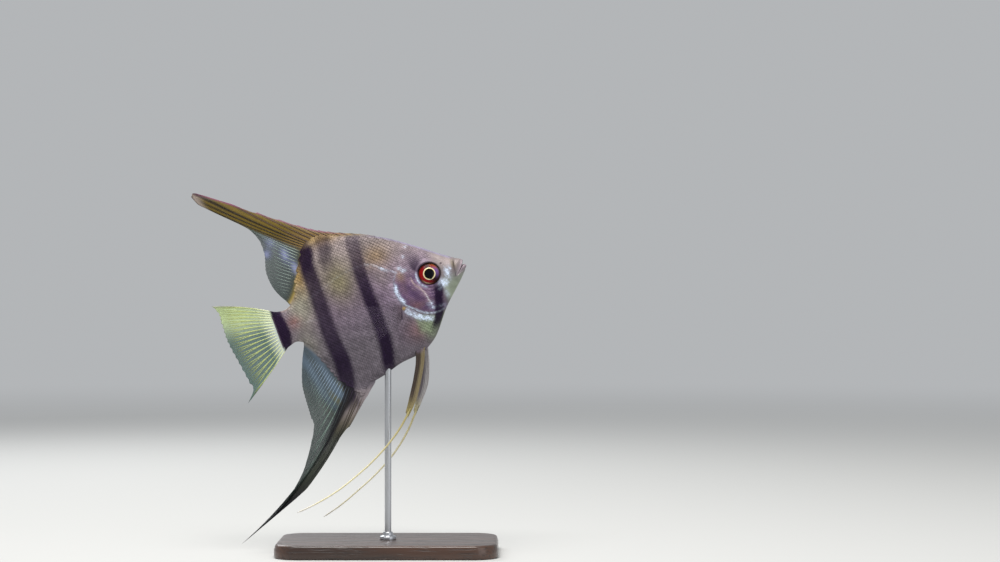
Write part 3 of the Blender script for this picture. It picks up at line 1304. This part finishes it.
DORSAL_SPINES, DORSAL_RAYS = 12, 36
DORSAL_TIPS = [
    (0, 42.4, 20.4), (2, 37.8, 22.7), (5.4, 25.6, 28.3), (8, 17.6, 33.3), (9.8, 6.4, 41.9),
    (11, -2.5, 48.9), (12.1, -14.2, 57.5), (12.9, -15.5, 56.6), (13.9, -14.4, 53.4), (15.5, -6.6, 45.6),
    (17.1, -0.6, 39.2), (18.9, 2.0, 34.2), (21.4, 2.4, 28.4), (24, 1.6, 25), (26.5, 0.7, 21.6),
    (29, 0.8, 17.4), (31.5, 1.7, 13.7), (33.5, 3.3, 10.4), (35, 4.9, 8.0),
]
ANAL_SPINES, ANAL_RAYS = 6, 32
ANAL_TIPS = [
    (0, 23.4, -30.4), (1, 20.2, -33.2), (2, 16, -36.6), (3, 10.3, -41.5), (4, 3.8, -45.4),
    (5, -10, -56), (6, -17, -59.4), (7, -40.6, -68.0), (7.8, -28, -63.1), (8.7, -18.4, -57.6),
    (9.6, -11, -50.9), (10.6, -5.8, -43.8), (12, -2.3, -38), (14.5, -1.8, -33.3), (19, -1.5, -27.6),
    (21, -1.3, -24.6), (24, -0.6, -20.6), (27, 1.8, -14.2), (31, 4.9, -7.9),
]
TAIL_RAYS = 17
TAIL_TIPS = [
    (0, -22.2, 16.5), (0.7, -21.3, 14.8), (4, -21, 9.6), (8, -21.1, 2.4), (12, -19.9, -6.4),
    (15, -18.8, -14.4), (16.3, -18.6, -17.6), (17, -21.6, -21.0),
]


def scallop(spines, depth, soft_depth):
    """How far the web reaches along each ray: all the way at a ray and less half way to the next."""
    return lambda ray: 1 - np.where(ray < spines - 1, depth, soft_depth) * between(ray)


def between(ray):
    """1 half way between two rays, 0 on one."""
    return np.abs(np.sin(np.pi * ray))


def make_dorsal_fin():
    """The back fin: spines that lengthen rearwards, a long lobe of soft rays, and a soft rear part."""
    last = DORSAL_RAYS - 1
    fan = rayed_fan(
        last,
        edge_roots(back_line, 43.6, 20.6, 5, DORSAL_SPINES, DORSAL_RAYS, 0.9),
        tips_through(DORSAL_TIPS),
        lambda ray: 0.03 + 0.02 * ramp(14, 20, ray),
        lambda ray, r: 1.6 * r**2 * np.sin(np.pi * ray / last),
    )
    hue = palette()
    mauve, ash, ink = srgb(122, 62, 92), srgb(166, 152, 144), srgb(18, 12, 14)
    pale = [(6, 31.4, 1.9, 2.4), (9.3, 25.2, 1.6, 2.9), (11.2, 19.4, 1.3, 2.6), (3.2, 27.5, 1.6, 1.6)]

    def web_paint(ray, r, at):
        """Gold to brown between dark rays over the lobe, with a mauve front edge and an ashen tip; smoky with
        pale patches over the soft part. Goes by d, the distance from the root, and m, that from the tip."""
        d, m = r * fan.length(ray), (1 - r) * fan.length(ray)
        soft = ramp(14.0, 16.8, ray)
        light = 0.68 + 0.38 * ramp(4, 17, d) * (1 - 0.3 * ramp(12.5, 14.5, ray))
        light = (0.16 + 0.84 * between(ray) ** 0.9) * light
        tint = dye(ink, dye(hue["gold"], hue["brown"], ramp(3, 14, d)), light)
        tint = dye(tint, ash, 0.8 * ramp(6.5, 1.5, m) * ramp(11.6, 12.2, ray))
        tint = dye(tint, mauve, 0.9 * (1 - ramp(1.0, 4.5, m)) * ramp(3, 7, ray) * ramp(12.6, 12.0, ray))
        tint = dye(tint, ink, 0.85 * bump(ray - 12.15, 0.22) * ramp(4, 12, d))
        tint = dye(tint, ink, 0.8 * (1 - ramp(0.2, 0.7, m)) * ramp(12.2, 12.6, ray) * (1 - soft))
        patches = np.clip(sum(dab(at[..., 0], at[..., 2], *place) for place in pale), 0, 1)
        clear = dye(hue["smoke"], hue["ice"], 0.95 * patches)
        clear = dye(clear, srgb(176, 150, 60), 0.8 * bump(d - 1.0, 1.2))
        tint = dye(tint, clear, soft)
        tint = dye(body_tint(at), tint, ramp(0.8, 3.6 - 1.6 * soft, d))
        veil = 0.64 + 0.36 * patches + 0.35 * bump(d, 3.0)
        veil = veil - 0.16 * ramp(6, 14, d)
        return tint, np.clip(blend(0.97 - 0.12 * ramp(25, 40, d), veil, soft), 0, 1)

    def ray_paint(ray, r, at):
        d, m = r * fan.length(ray), (1 - r) * fan.length(ray)
        lobe = dye(srgb(30, 22, 12), srgb(88, 78, 76), ramp(8, 2, m))
        soft = dye(srgb(96, 84, 40), srgb(150, 166, 158), ramp(1.5, 6, d))
        tint = dye(lobe, soft, ramp(14.2, 17, ray))
        spines = dye(srgb(78, 60, 46), mauve, ramp(0.55, 0.97, r))
        tint = dye(spines, tint, ramp(10.9, 11.3, ray))
        return dye(body_tint(at), tint, ramp(1, 3.5, d)), 1 - 0.35 * ramp(16, 20, ray) * ramp(5, 16, d)

    reach = scallop(DORSAL_SPINES, 0.10, 0.012)
    make_web("dorsal_fin", fan, reach, web_paint, "fin", rows=56)
    ray, r, thick = branching_rays(DORSAL_SPINES, last, DORSAL_RAYS - DORSAL_SPINES, reach)
    radius = size("ray_radius") * thick * (0.62 + 0.38 * ramp(6, 30, fan.length(ray)))
    make_rays("dorsal_fin", fan, [spine_threads(DORSAL_SPINES), (ray, r, radius)], ray_paint, "fin")


def make_anal_fin():
    """The fin under the tail: short spines, a very long dark lobe that sweeps back, and a soft rear part."""
    last = ANAL_RAYS - 1
    longest = 7
    fan = rayed_fan(
        last,
        edge_roots(belly_line, 25.2, 19.3, 4.6, ANAL_SPINES, ANAL_RAYS, -0.9),
        tips_through(ANAL_TIPS),
        lambda ray: 0.03 + 0.09 * bump(ray - longest, 3.4),
        lambda ray, r: -2.2 * r**2 * bump(ray - longest, 9),
    )
    ink = srgb(16, 12, 20)
    band = [(15.0, -25), (14.4, -29.5), (9.0, -35.4), (0.2, -44.4), (-10.4, -53.7)]

    def stripe(at):
        """The hind bar's way on down the lobe."""
        off, along = beside(band, at[..., 0], at[..., 2])
        width = 2.2 - 1.2 * ramp(0.0, 0.6, along)
        return (1 - ramp(width - 0.8, width + 0.8, np.abs(off))) * (1 - ramp(0.55, 1.0, along))

    def web_paint(ray, r, at):
        """Grey-brown to near black along the lobe, and over the soft part smoky with bluish and olive rows,
        by the distance d from the root."""
        d = r * fan.length(ray)
        soft = ramp(7.2, 9.6, ray)
        front = dye(srgb(136, 126, 126), srgb(98, 88, 66), ramp(8, 20, d))
        lobe = dye(front, srgb(50, 54, 44), ramp(10, 24, d))
        lobe = dye(lobe, srgb(14, 14, 18), ramp(36, 50, d))
        lobe = dye(ink, lobe, 0.6 + 0.4 * between(ray))
        rows = 0.5 + 0.5 * np.cos(2 * np.pi * (d / 5.2 + 0.06 * ray + 0.15))
        sheen = ramp(0.4, 2, d) * (1 - ramp(7, 15, d)) * (0.45 + 0.55 * rows)
        pale = dye(palette()["smoke"], srgb(96, 112, 130), 0.7 * sheen)
        pale = dye(pale, srgb(112, 106, 60), 0.5 * bump(rows, 0.4) * bump(d - 7, 5) * ramp(16, 10, ray))
        tint = dye(lobe, pale, soft)
        tint = dye(body_tint(at), tint, ramp(4.5 - 3.5 * soft, 13 - 10.5 * soft, d))
        dark = stripe(at)
        tint = dye(tint, ink, 0.94 * dark)
        veil = 0.68 + 0.22 * sheen - 0.16 * ramp(8, 18, d) + 0.2 * bump(ray - 9, 2.4)
        cover = blend(0.96 - 0.16 * bump(d - 26, 9), veil, soft)
        return tint, np.maximum(cover, 0.95 * dark)

    def ray_paint(ray, r, at):
        d = r * fan.length(ray)
        soft = dye(srgb(142, 160, 180), srgb(126, 146, 136), ramp(5, 13, d))
        front = dye(srgb(84, 76, 66), srgb(24, 26, 24), ramp(8, 22, d))
        tint = dye(front, soft, ramp(7.6, 9.6, ray))
        tint = dye(tint, ink, 0.85 * stripe(at))
        sheath = ramp(8.5, 6.5, ray) * 4.5
        cover = 1 - 0.3 * ramp(10, 13, ray) * ramp(6, 18, d)
        return dye(body_tint(at), tint, ramp(1 + sheath, 4 + sheath, d)), cover

    reach = scallop(ANAL_SPINES, 0.09, 0.012)
    make_web("anal_fin", fan, reach, web_paint, "fin", rows=64)
    ray, r, thick = branching_rays(ANAL_SPINES, last, ANAL_RAYS - ANAL_SPINES, reach, spread=0.28)
    radius = size("ray_radius") * thick * (0.6 + 0.4 * ramp(6, 30, fan.length(ray)))
    make_rays("anal_fin", fan, [spine_threads(ANAL_SPINES), (ray, r, radius)], ray_paint, "fin")


def make_tail_fin():
    """The tail fin: a fan of branching rays, its lower corner drawn out in a short thread."""
    line = curve([(0, 6.3), (TAIL_RAYS, -6.4)])
    fan = rayed_fan(
        TAIL_RAYS,
        lambda ray: np.stack([0 * ray - 0.6, line(ray)], -1),
        tips_through(TAIL_TIPS),
        lambda ray: -0.085 + 0.115 * ray / TAIL_RAYS,
        lambda ray, r: 1.5 * r**2 + 0.35 * r * np.sin(9 * ray / TAIL_RAYS),
    )
    hue = palette()
    usual_length = 20

    def stripe(at):
        return bar(TAIL_BAR, at[..., 0], np.clip(at[..., 2], -8, 7), 0.45)

    def web_paint(ray, r, at):
        d = r * usual_length
        upper = ramp(9, 2, ray)
        tint = dye(hue["chalk"], srgb(74, 106, 100), ramp(2.5, 8, d) * (1 - 0.75 * upper))
        tint = dye(tint, srgb(202, 222, 148), upper * (0.35 + 0.45 * ramp(3, 16, d)))
        tint = dye(tint, srgb(120, 108, 124), 0.8 * ramp(0.35, 0.0, ray))
        dark = stripe(at)
        cover = 0.95 - (0.38 - 0.10 * upper) * ramp(2.5, 10, d)
        return dye(tint, hue["bar"], dark), np.maximum(cover + 0.4 * ramp(0.3, 0.0, ray), dark)

    def ray_paint(ray, r, at):
        d = r * usual_length
        tint = dye(srgb(210, 216, 176), hue["lime"], ramp(3, 9, d))
        tint = dye(tint, srgb(122, 128, 62), ramp(13, 20, d))
        return dye(tint, hue["bar"], stripe(at)), 1

    reach = scallop(0, 0, 0.018)
    make_web("tail_fin", fan, reach, web_paint, "fin", per_ray=6, rows=48, foot=0.6)
    ray, r, thick = branching_rays(0.25, TAIL_RAYS - 0.1, 18, reach, split=(0.34, 0.64))
    make_rays("tail_fin", fan, [(ray, r, 1.45 * size("ray_radius") * thick)], ray_paint, "fin")


def make_pectoral_fin(name, side):
    """A clear fan behind the gill cover, its upper rays longest, standing out from the flank."""
    last = 11
    top, bottom = np.array([43.2, -6.8]), np.array([41.5, -11.0])

    def ray_length(ray):
        t = ray / last
        return 23.0 * np.minimum(0.78 + 1.1 * t, 1.1 - 0.62 * t)

    def roots(ray):
        return top + (bottom - top) * (ray[..., None] / last)

    def tips(ray):
        angle = 0.34 - 0.80 * (ray / last)
        return roots(ray) + np.stack([-np.cos(angle), np.sin(angle)], -1) * ray_length(ray)[..., None]

    def lean(ray, r):
        root = roots(ray)
        bow = 1.4 * np.sin(np.pi * r)
        return side * (flank(root[..., 0], root[..., 1]) - 0.3 + ray_length(ray) * 0.36 * r**1.1 + bow)

    def web_paint(ray, r, at):
        foot = 1 - ramp(0.02, 0.14, r)
        return dye(srgb(128, 116, 132), srgb(104, 88, 100), foot), 0.035 + 0.6 * foot

    def ray_paint(ray, r, at):
        foot = 1 - ramp(0.04, 0.3, r)
        return dye(srgb(104, 92, 108), srgb(112, 96, 104), foot), 0.10 + 0.4 * foot - 0.05 * ramp(0.5, 1, r)

    fan = rayed_fan(last, roots, tips, lambda ray: 0.04 + 0 * ray, lean)
    reach = scallop(0, 0, 0.02)
    make_web(name, fan, reach, web_paint, "clear_fin", per_ray=5, rows=26, foot=0.25)
    ray, r, thick = branching_rays(0, last, last + 1, reach, split=(0.5, 0.78), spread=0.25)
    make_rays(name, fan, [(ray, r, 0.55 * size("ray_radius") * thick)], ray_paint, "clear_fin")


PELVIC_FRONT = {
    "right": [(45.6, -23.4), (43.4, -28.8), (40.3, -34.4), (36.4, -40.4), (31.3, -45.7)],
    "left": [(46.6, -23.4), (44.6, -30.6), (41.8, -37.0), (38, -41.6), (33.7, -46.1)],
}
PELVIC_REAR = {
    "right": [(42.6, -23.2), (40.8, -28.2), (38.3, -32.8), (35.2, -38.0), (31.3, -43.6)],
    "left": [(43.9, -23.4), (41.6, -30.2), (39.2, -35.4), (36.6, -40.0), (33.7, -44.4)],
}
FILAMENT = {
    "right": [
        (33.4, -42.7), (31, -45.1), (27, -48.5), (21.2, -52.3), (14.5, -55.8), (6.9, -58.9),
        (-1.1, -61.5), (-9.8, -63.2), (-17.4, -63.9),
    ],
    "left": [
        (35.6, -43.7), (33.4, -45.9), (30.5, -49.1), (24.9, -54.1), (19.1, -58), (12.5, -61.5),
        (4.8, -64.7), (-3.3, -67.7), (-10.8, -69.7),
    ],
}
PELVIC_SPREAD, PELVIC_ROOT, PELVIC_LENGTH = 0.16, 1.1, 24.0
# Light and dark of the blade and its tip; root and run of the thread
PELVIC_HUES = {
    "right": [(132, 120, 90), (38, 24, 30), (142, 130, 84)],
    "left": [(176, 172, 172), (84, 76, 84), (176, 168, 128)],
}
FILAMENT_HUES = {
    "right": [(166, 154, 104), (226, 218, 180)],
    "left": [(184, 174, 130), (236, 228, 196)],
}


def make_pelvic_fin(side_name):
    """A narrow blade of one spine and five rays under the throat, between its front and its rear edge."""
    side = SIDES[side_name]
    last = 5
    front, rear = route(PELVIC_FRONT[side_name]), route(PELVIC_REAR[side_name])
    light, dark, tip = (srgb(*hue) for hue in PELVIC_HUES[side_name])

    def at(ray, r):
        a, b = front(r), rear(r)
        flat = a + (b - a) * (np.asarray(ray)[..., None] / last)
        out = PELVIC_ROOT + PELVIC_LENGTH * PELVIC_SPREAD * r + 0.5 * (ray / last) * (1 - r)
        return np.stack([flat[..., 0], side * out, flat[..., 1]], -1)

    def web_paint(ray, r, at):
        rear_edge = ramp(0.9 + 1.6 * r, 2.7 + 1.2 * r, ray) * ramp(1.05, 0.6, r)
        tint = dye(light, dark, np.maximum(0.9 * rear_edge, 0.45 * (1 - between(ray)) * (ray > 0.4)))
        tint = dye(tint, tip, ramp(0.7, 1, r))
        tint = dye(tint, palette()["flank"], 0.7 * (1 - ramp(0.02, 0.12, r)))
        return tint, 0.95 - 0.15 * ramp(3.5, 5, ray)

    def ray_paint(ray, r, at):
        shadow = 0.2 + 0.65 * ramp(0.8, 2.8, ray) + 0.12 * np.sin(3.1 * ray)
        return dye(dye(light, dark, shadow), tip, ramp(0.7, 1, r)), 1

    name = f"pelvic_fin_{side_name}"
    fan = Fan(last, at)
    make_web(name, fan, scallop(0, 0, 0.03), web_paint, "fin", per_ray=6, foot=0.25)
    ray, r = np.meshgrid(np.arange(last + 1.0), np.linspace(0, 1, 26), indexing="ij")
    radius = np.where(ray < 0.5, 0.36, 0.21) * (1.05 - 0.55 * r) * np.where(ray < 0.5, (1.02 - r) ** 0.35, 1)
    make_rays(name, fan, [(ray, r, np.maximum(radius, 0.04))], ray_paint, "fin")


def make_filament(side_name):
    """The long thread that the pelvic fin's first ray runs out into: rings square to a line that leaves the
    middle plane evenly, within the solid's own reach, and tapers at both ends."""
    name = f"pelvic_filament_{side_name}"
    steps, sides = 110, 10
    t = np.linspace(0, 1, steps)
    flat = route(FILAMENT[side_name])(t)
    near, far = sorted(abs(corner.y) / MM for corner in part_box(name))
    out = SIDES[side_name] * (near + 0.4 + (far - near - 0.75) * t)
    middle = np.stack([flat[:, 0], out, flat[:, 1]], 1)
    along = unit(np.gradient(middle, axis=0))
    left = unit(np.array([0, 1.0, 0]) - along * along[:, 1:2])
    radius = (0.40 - 0.15 * t) * (1 - 0.75 * ramp(0.97, 1, t)) * (0.3 + 0.7 * ramp(0, 0.05, t))
    tube = tubes_about(middle, left, np.cross(left, along), radius, sides)
    root_hue, run_hue = (srgb(*hue) for hue in FILAMENT_HUES[side_name])
    tint = dye(dye(root_hue, run_hue, ramp(0.0, 0.7, t)), srgb(226, 220, 206), ramp(0.82, 0.95, t))
    paints = {"tint": np.repeat(tint[:, None], sides, 1), "cover": np.ones(steps * sides)}
    finish = shared("fin threads", ray_finish, 0.12)
    make_piece(f"{name}_thread", to_row(tube), closed_tube(tube), finish, "fin", (name,), **paints)


# ---------------------------------------------------------------------------------------------------------
# Stand


def wood_finish():
    """Stained hardwood: rings of grain far along X and close across it, pores as fine dark strokes, under a
    satin lacquer."""
    paint = Finish("stained wood")
    looks = bpy.context.scene.stand_looks
    warp = paint.noise(0.02, detail=2.0, where=paint.stretched((0.25, 1, 1)))
    across = paint.node("ShaderNodeSeparateXYZ", {}, {0: paint.place()}, output=1)
    rings = ((across * 620 + warp * 9).math("SINE") * 0.5 + 0.5) ** 1.6
    pores = paint.noise(0.0006, detail=3.0, where=paint.stretched((0.06, 1, 1))).step(0.50, 0.66)
    hue = paint.mix(rings * 0.7, tuple(looks.wood), tuple(looks.stain))
    hue = paint.mix(pores * 0.55, hue, srgb(18, 11, 8))
    return paint.surface(
        base_color=hue,
        roughness=0.34 + pores * 0.16,
        normal=paint.relief(1 - pores, 0.00006),
        coat_weight=0.4,
        coat_roughness=0.16,
    )


def steel_finish():
    """Drawn steel: fine lines along its length, by noise stretched along Z."""
    paint = Finish("drawn steel")
    looks = bpy.context.scene.stand_looks
    lines = paint.noise(0.0003, detail=3.0, where=paint.stretched((1, 1, 0.02)))
    cloud = paint.noise(0.004, detail=1.0)
    return paint.surface(
        base_color=paint.shade(tuple(looks.steel), 0.88 + lines * 0.2),
        metallic=1.0,
        roughness=0.24 + lines * 0.14 + cloud * 0.06,
        normal=paint.relief(lines, 0.00001),
    )


def make_turned(name, profile, material, node, around=64):
    """A piece turned about the rod's axis: a profile of radius and height, carried round a full circle."""
    line = np.array(profile, float)
    angle = turns(around)
    radius, height = line[:, :1], line[:, 1:]
    rings = np.stack([radius * np.cos(angle), radius * np.sin(angle), height + 0 * angle], -1)
    smooth_by_angle(make_piece(name, rings * MM, closed_tube(rings), material, "rod_steel", (node,)))


def smooth_by_angle(piece, limit=35):
    """Edges sharper than the limit stay crisp, so the mesh marks them sharp where its two faces turn more."""
    mesh = piece.data
    normals = np.zeros(3 * len(mesh.polygons), np.float32)
    mesh.polygons.foreach_get("normal", normals)
    normals = normals.reshape(-1, 3)
    counts = np.zeros(len(mesh.polygons), np.int32)
    mesh.polygons.foreach_get("loop_total", counts)
    edges = np.zeros(len(mesh.loops), np.int32)
    mesh.loops.foreach_get("edge_index", edges)
    owner = np.repeat(np.arange(len(counts)), counts)
    one, other = owner[np.argsort(edges, kind="stable")].reshape(-1, 2).T
    turned = np.einsum("ij,ij->i", normals[one], normals[other]) < math.cos(math.radians(limit))
    mesh.attributes.new("sharp_edge", "BOOLEAN", "EDGE").data.foreach_set("value", turned)


def arc(centre_x, centre_z, radius, low, high, steps):
    """Points on a circle between two angles in degrees."""
    turns = np.radians(np.linspace(low, high, steps))
    return [(centre_x + radius * math.cos(turn), centre_z + radius * math.sin(turn)) for turn in turns]


def extent(node):
    """A node's lowest and highest corners in millimetres."""
    return (np.array(corner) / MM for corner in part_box(node))


def make_base():
    """A flat board with round corners: a profile of inset and height, a small round at its foot and a larger
    one at its top, carried round the outline."""
    _, (half_x, half_y, top) = extent("stand_base")
    corner, per_corner = 9.0, 20
    angle = np.radians(np.concatenate([np.linspace(q, q + 90, per_corner) for q in (-90, 0, 90, 180)]))
    cos, sin = np.cos(angle), np.sin(angle)
    centre_x = (half_x - corner) * np.repeat([1, 1, -1, -1], per_corner)
    centre_y = (half_y - corner) * np.repeat([-1, 1, 1, -1], per_corner)
    foot, shoulder, inner = 0.7, 1.0, 3.5
    profile = [(-1.2, 0.0), *arc(-foot, foot, foot, -90, 0, 7), (0, 3.0)]
    profile += [*arc(-0.35 - shoulder, top - shoulder, shoulder, 0, 90, 7), (-inner, top)]
    inset, height = (np.array(column)[:, None] for column in zip(*profile))
    around = corner + inset
    rings = np.stack([centre_x + around * cos, centre_y + around * sin, height + 0 * cos], -1)
    faces = closed_tube(rings)
    base = make_piece("stand_base_wood", rings * MM, faces, wood_finish(), "base_wood", ("stand_base",))
    smooth_by_angle(base)


def make_rod():
    """The rod with its ends eased, and the collar round its foot: a straight skirt under a round shoulder."""
    steel = steel_finish()
    low, (r, _, top) = extent("stand_rod")
    rod = [(r * 0.8, low[2]), (r, low[2] + 0.2), (r, top - 0.4), (r * 0.7, top)]
    make_turned("stand_rod_steel", rod, steel, "stand_rod", around=40)
    low, (r, _, top) = extent("stand_ferrule")
    z = low[2] - 0.3
    quarter = np.linspace(0, math.pi / 2, 9)
    shoulder = [(r - 0.9 + 0.9 * math.cos(turn), z + 0.9 + 0.5 * math.sin(turn)) for turn in quarter]
    neck = [(1.9, z + 1.55), (1.75, top - 0.2), (1.6, top), (1.25, top)]
    collar = [(1.25, z), (r - 0.15, z), (r, z + 0.15), *shoulder, *neck]
    make_turned("stand_ferrule_steel", collar, steel, "stand_ferrule")


# ---------------------------------------------------------------------------------------------------------
# Studio


def floor_finish():
    """Pale floor that thins out with the distance from its middle, so that it has no edge."""
    paint = Finish("floor")
    studio = bpy.context.scene.studio
    away = paint.node("ShaderNodeVectorMath", {"operation": "LENGTH"}, {0: paint.place()}, output="Value")
    fade = away.step(0.22 * studio.floor_radius, studio.floor_radius)
    ground = paint.node("ShaderNodeBsdfDiffuse", {}, {"Color": tuple(studio.floor)})
    clear = paint.node("ShaderNodeBsdfTransparent", {}, {})
    return paint.ended(paint.node("ShaderNodeMixShader", {}, {0: fade, 1: ground, 2: clear}))


def make_floor():
    """A round floor at height 0, of rings that widen outwards, round one small face in the middle."""
    rings, around = 40, 96
    radius = bpy.context.scene.studio.floor_radius * np.linspace(0.001, 1, rings)[::-1, None] ** 2
    angle = turns(around)[None]
    points = np.stack([radius * np.cos(angle), radius * np.sin(angle), 0 * radius * angle], -1)
    middle = np.arange(around) + (rings - 1) * around
    mesh = bpy.data.meshes.new("floor")
    faces = strip_faces(rings, around, wrap=True).tolist() + [middle.tolist()]
    mesh.from_pydata(points.reshape(-1, 3).tolist(), [], faces)
    mesh.materials.append(floor_finish())
    floor = bpy.data.objects.new("floor", mesh)
    bpy.context.scene.collection.objects.link(floor)
    floor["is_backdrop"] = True


def make_light(name, at, aim, extent, power, hue):
    """A soft rectangle of light turned towards its aim, which the camera itself doesn't see."""
    lamp = bpy.data.lights.new(name, "AREA")
    lamp.shape = "RECTANGLE"
    lamp.size, lamp.size_y = extent
    lamp.energy = power
    lamp.color = hue
    light = bpy.data.objects.new(name, lamp)
    light.location = at
    direction = np.array(aim) - np.array(at)
    level = math.hypot(direction[0], direction[1])
    turn = math.atan2(direction[1], direction[0]) - math.pi / 2
    light.rotation_euler = (math.pi / 2 + math.atan2(direction[2], level), 0, turn)
    light.visible_camera = False
    bpy.context.scene.collection.objects.link(light)


def make_studio():
    """Floor, even room light, a key light overhead, a fill beside the camera, a rim behind, and a camera."""
    studio = bpy.context.scene.studio
    make_floor()
    world = bpy.data.worlds.new("room")
    world.use_nodes = True
    background = world.node_tree.nodes["Background"]
    background.inputs["Color"].default_value = (*studio.room, 1)
    background.inputs["Strength"].default_value = studio.ambient
    bpy.context.scene.world = world
    bpy.context.scene.view_settings.view_transform = "Standard"
    aim = (-0.01, 0, 0.08)
    make_light("key", (-0.06, -0.24, 0.72), aim, (0.5, 0.4), studio.key_power, (1, 0.985, 0.96))
    make_light("fill", (0.55, -0.55, 0.22), aim, (0.5, 0.5), studio.fill_power, (0.95, 0.97, 1))
    make_light("rim", (-0.3, 0.5, 0.45), aim, (0.5, 0.3), studio.rim_power, (0.96, 0.98, 1))
    lens = bpy.data.cameras.new("camera")
    lens.lens = studio.lens
    lens.sensor_width = 36
    lens.clip_start, lens.clip_end = 0.05, 20
    camera = bpy.data.objects.new("camera", lens)
    camera.location = (studio.aim_x, -studio.distance, studio.aim_z)
    camera.rotation_euler = (math.pi / 2, 0, 0)
    bpy.context.scene.collection.objects.link(camera)
    bpy.context.scene.camera = camera


# ---------------------------------------------------------------------------------------------------------
# Add-on


class ANGELFISH_OT_studio(Operator):
    """Sets up the floor, the soft lights and the camera"""

    bl_idname = "angelfish.studio"
    bl_label = "Studio"

    def execute(self, context):
        make_studio()
        return {"FINISHED"}


class ANGELFISH_OT_skin(Operator):
    """Makes the one skin over head, gill covers, trunk and tail stalk"""

    bl_idname = "angelfish.skin"
    bl_label = "Skin"

    def execute(self, context):
        make_skin()
        return {"FINISHED"}


class ANGELFISH_OT_scales(Operator):
    """Lays the scales over the skin of both sides"""

    bl_idname = "angelfish.scales"
    bl_label = "Scales"

    def execute(self, context):
        for name, side in SIDES.items():
            make_scales(f"scales_{name}", side, "trunk")
            make_scales(f"head_scales_{name}", side, "head")
        return {"FINISHED"}


class ANGELFISH_OT_eyes(Operator):
    """Sets the eyes in their orbits"""

    bl_idname = "angelfish.eyes"
    bl_label = "Eyes"

    def execute(self, context):
        for name, side in SIDES.items():
            make_eye(f"eye_{name}", side)
        return {"FINISHED"}


class ANGELFISH_OT_unpaired_fins(Operator):
    """Makes the fin on the back, the one under the tail and the tail fin"""

    bl_idname = "angelfish.unpaired_fins"
    bl_label = "Back, anal and tail fins"

    def execute(self, context):
        make_dorsal_fin()
        make_anal_fin()
        make_tail_fin()
        return {"FINISHED"}


class ANGELFISH_OT_paired_fins(Operator):
    """Makes the clear fins behind the gills and the long ones under the throat"""

    bl_idname = "angelfish.paired_fins"
    bl_label = "Paired fins"

    def execute(self, context):
        for name, side in SIDES.items():
            make_pectoral_fin(f"pectoral_fin_{name}", side)
            make_pelvic_fin(name)
            make_filament(name)
        return {"FINISHED"}


class ANGELFISH_OT_stand(Operator):
    """Makes the base, the rod and its collar"""

    bl_idname = "angelfish.stand"
    bl_label = "Stand"

    def execute(self, context):
        make_base()
        make_rod()
        return {"FINISHED"}


STEPS = ("studio", "skin", "scales", "eyes", "unpaired_fins", "paired_fins", "stand")


class ANGELFISH_PT_panel(Panel):
    """Lists the settings and the steps that make the fish"""

    bl_label = "Angelfish"
    bl_space_type = "VIEW_3D"
    bl_region_type = "UI"
    bl_category = "Angelfish"

    def draw(self, context):
        for group in SETTINGS:
            box = self.layout.box()
            for name in getattr(context.scene, group).bl_rna.properties.keys():
                if name not in {"rna_type", "name"}:
                    box.prop(getattr(context.scene, group), name)
        for step in STEPS:
            self.layout.operator(f"angelfish.{step}")


SETTINGS = {
    "fish_sizes": FishSizes,
    "fish_colours": FishColours,
    "eye_colours": EyeColours,
    "stand_looks": StandLooks,
    "studio": Studio,
}
OPERATORS = (
    ANGELFISH_OT_studio,
    ANGELFISH_OT_skin,
    ANGELFISH_OT_scales,
    ANGELFISH_OT_eyes,
    ANGELFISH_OT_unpaired_fins,
    ANGELFISH_OT_paired_fins,
    ANGELFISH_OT_stand,
)


def register():
    for name, group in SETTINGS.items():
        bpy.utils.register_class(group)
        setattr(bpy.types.Scene, name, PointerProperty(type=group))
    for kind in (*OPERATORS, ANGELFISH_PT_panel):
        bpy.utils.register_class(kind)


def unregister():
    for kind in reversed((*OPERATORS, ANGELFISH_PT_panel)):
        bpy.utils.unregister_class(kind)
    for name, group in SETTINGS.items():
        delattr(bpy.types.Scene, name)
        bpy.utils.unregister_class(group)


def main():
    register()
    for step in STEPS:
        getattr(bpy.ops.angelfish, step)()
    boxes = {"cad": box_at_load, "visual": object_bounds()}
    {name: [list(corner) for corner in box] for name, box in boxes.items()}


if __name__ == "__main__":
    main()
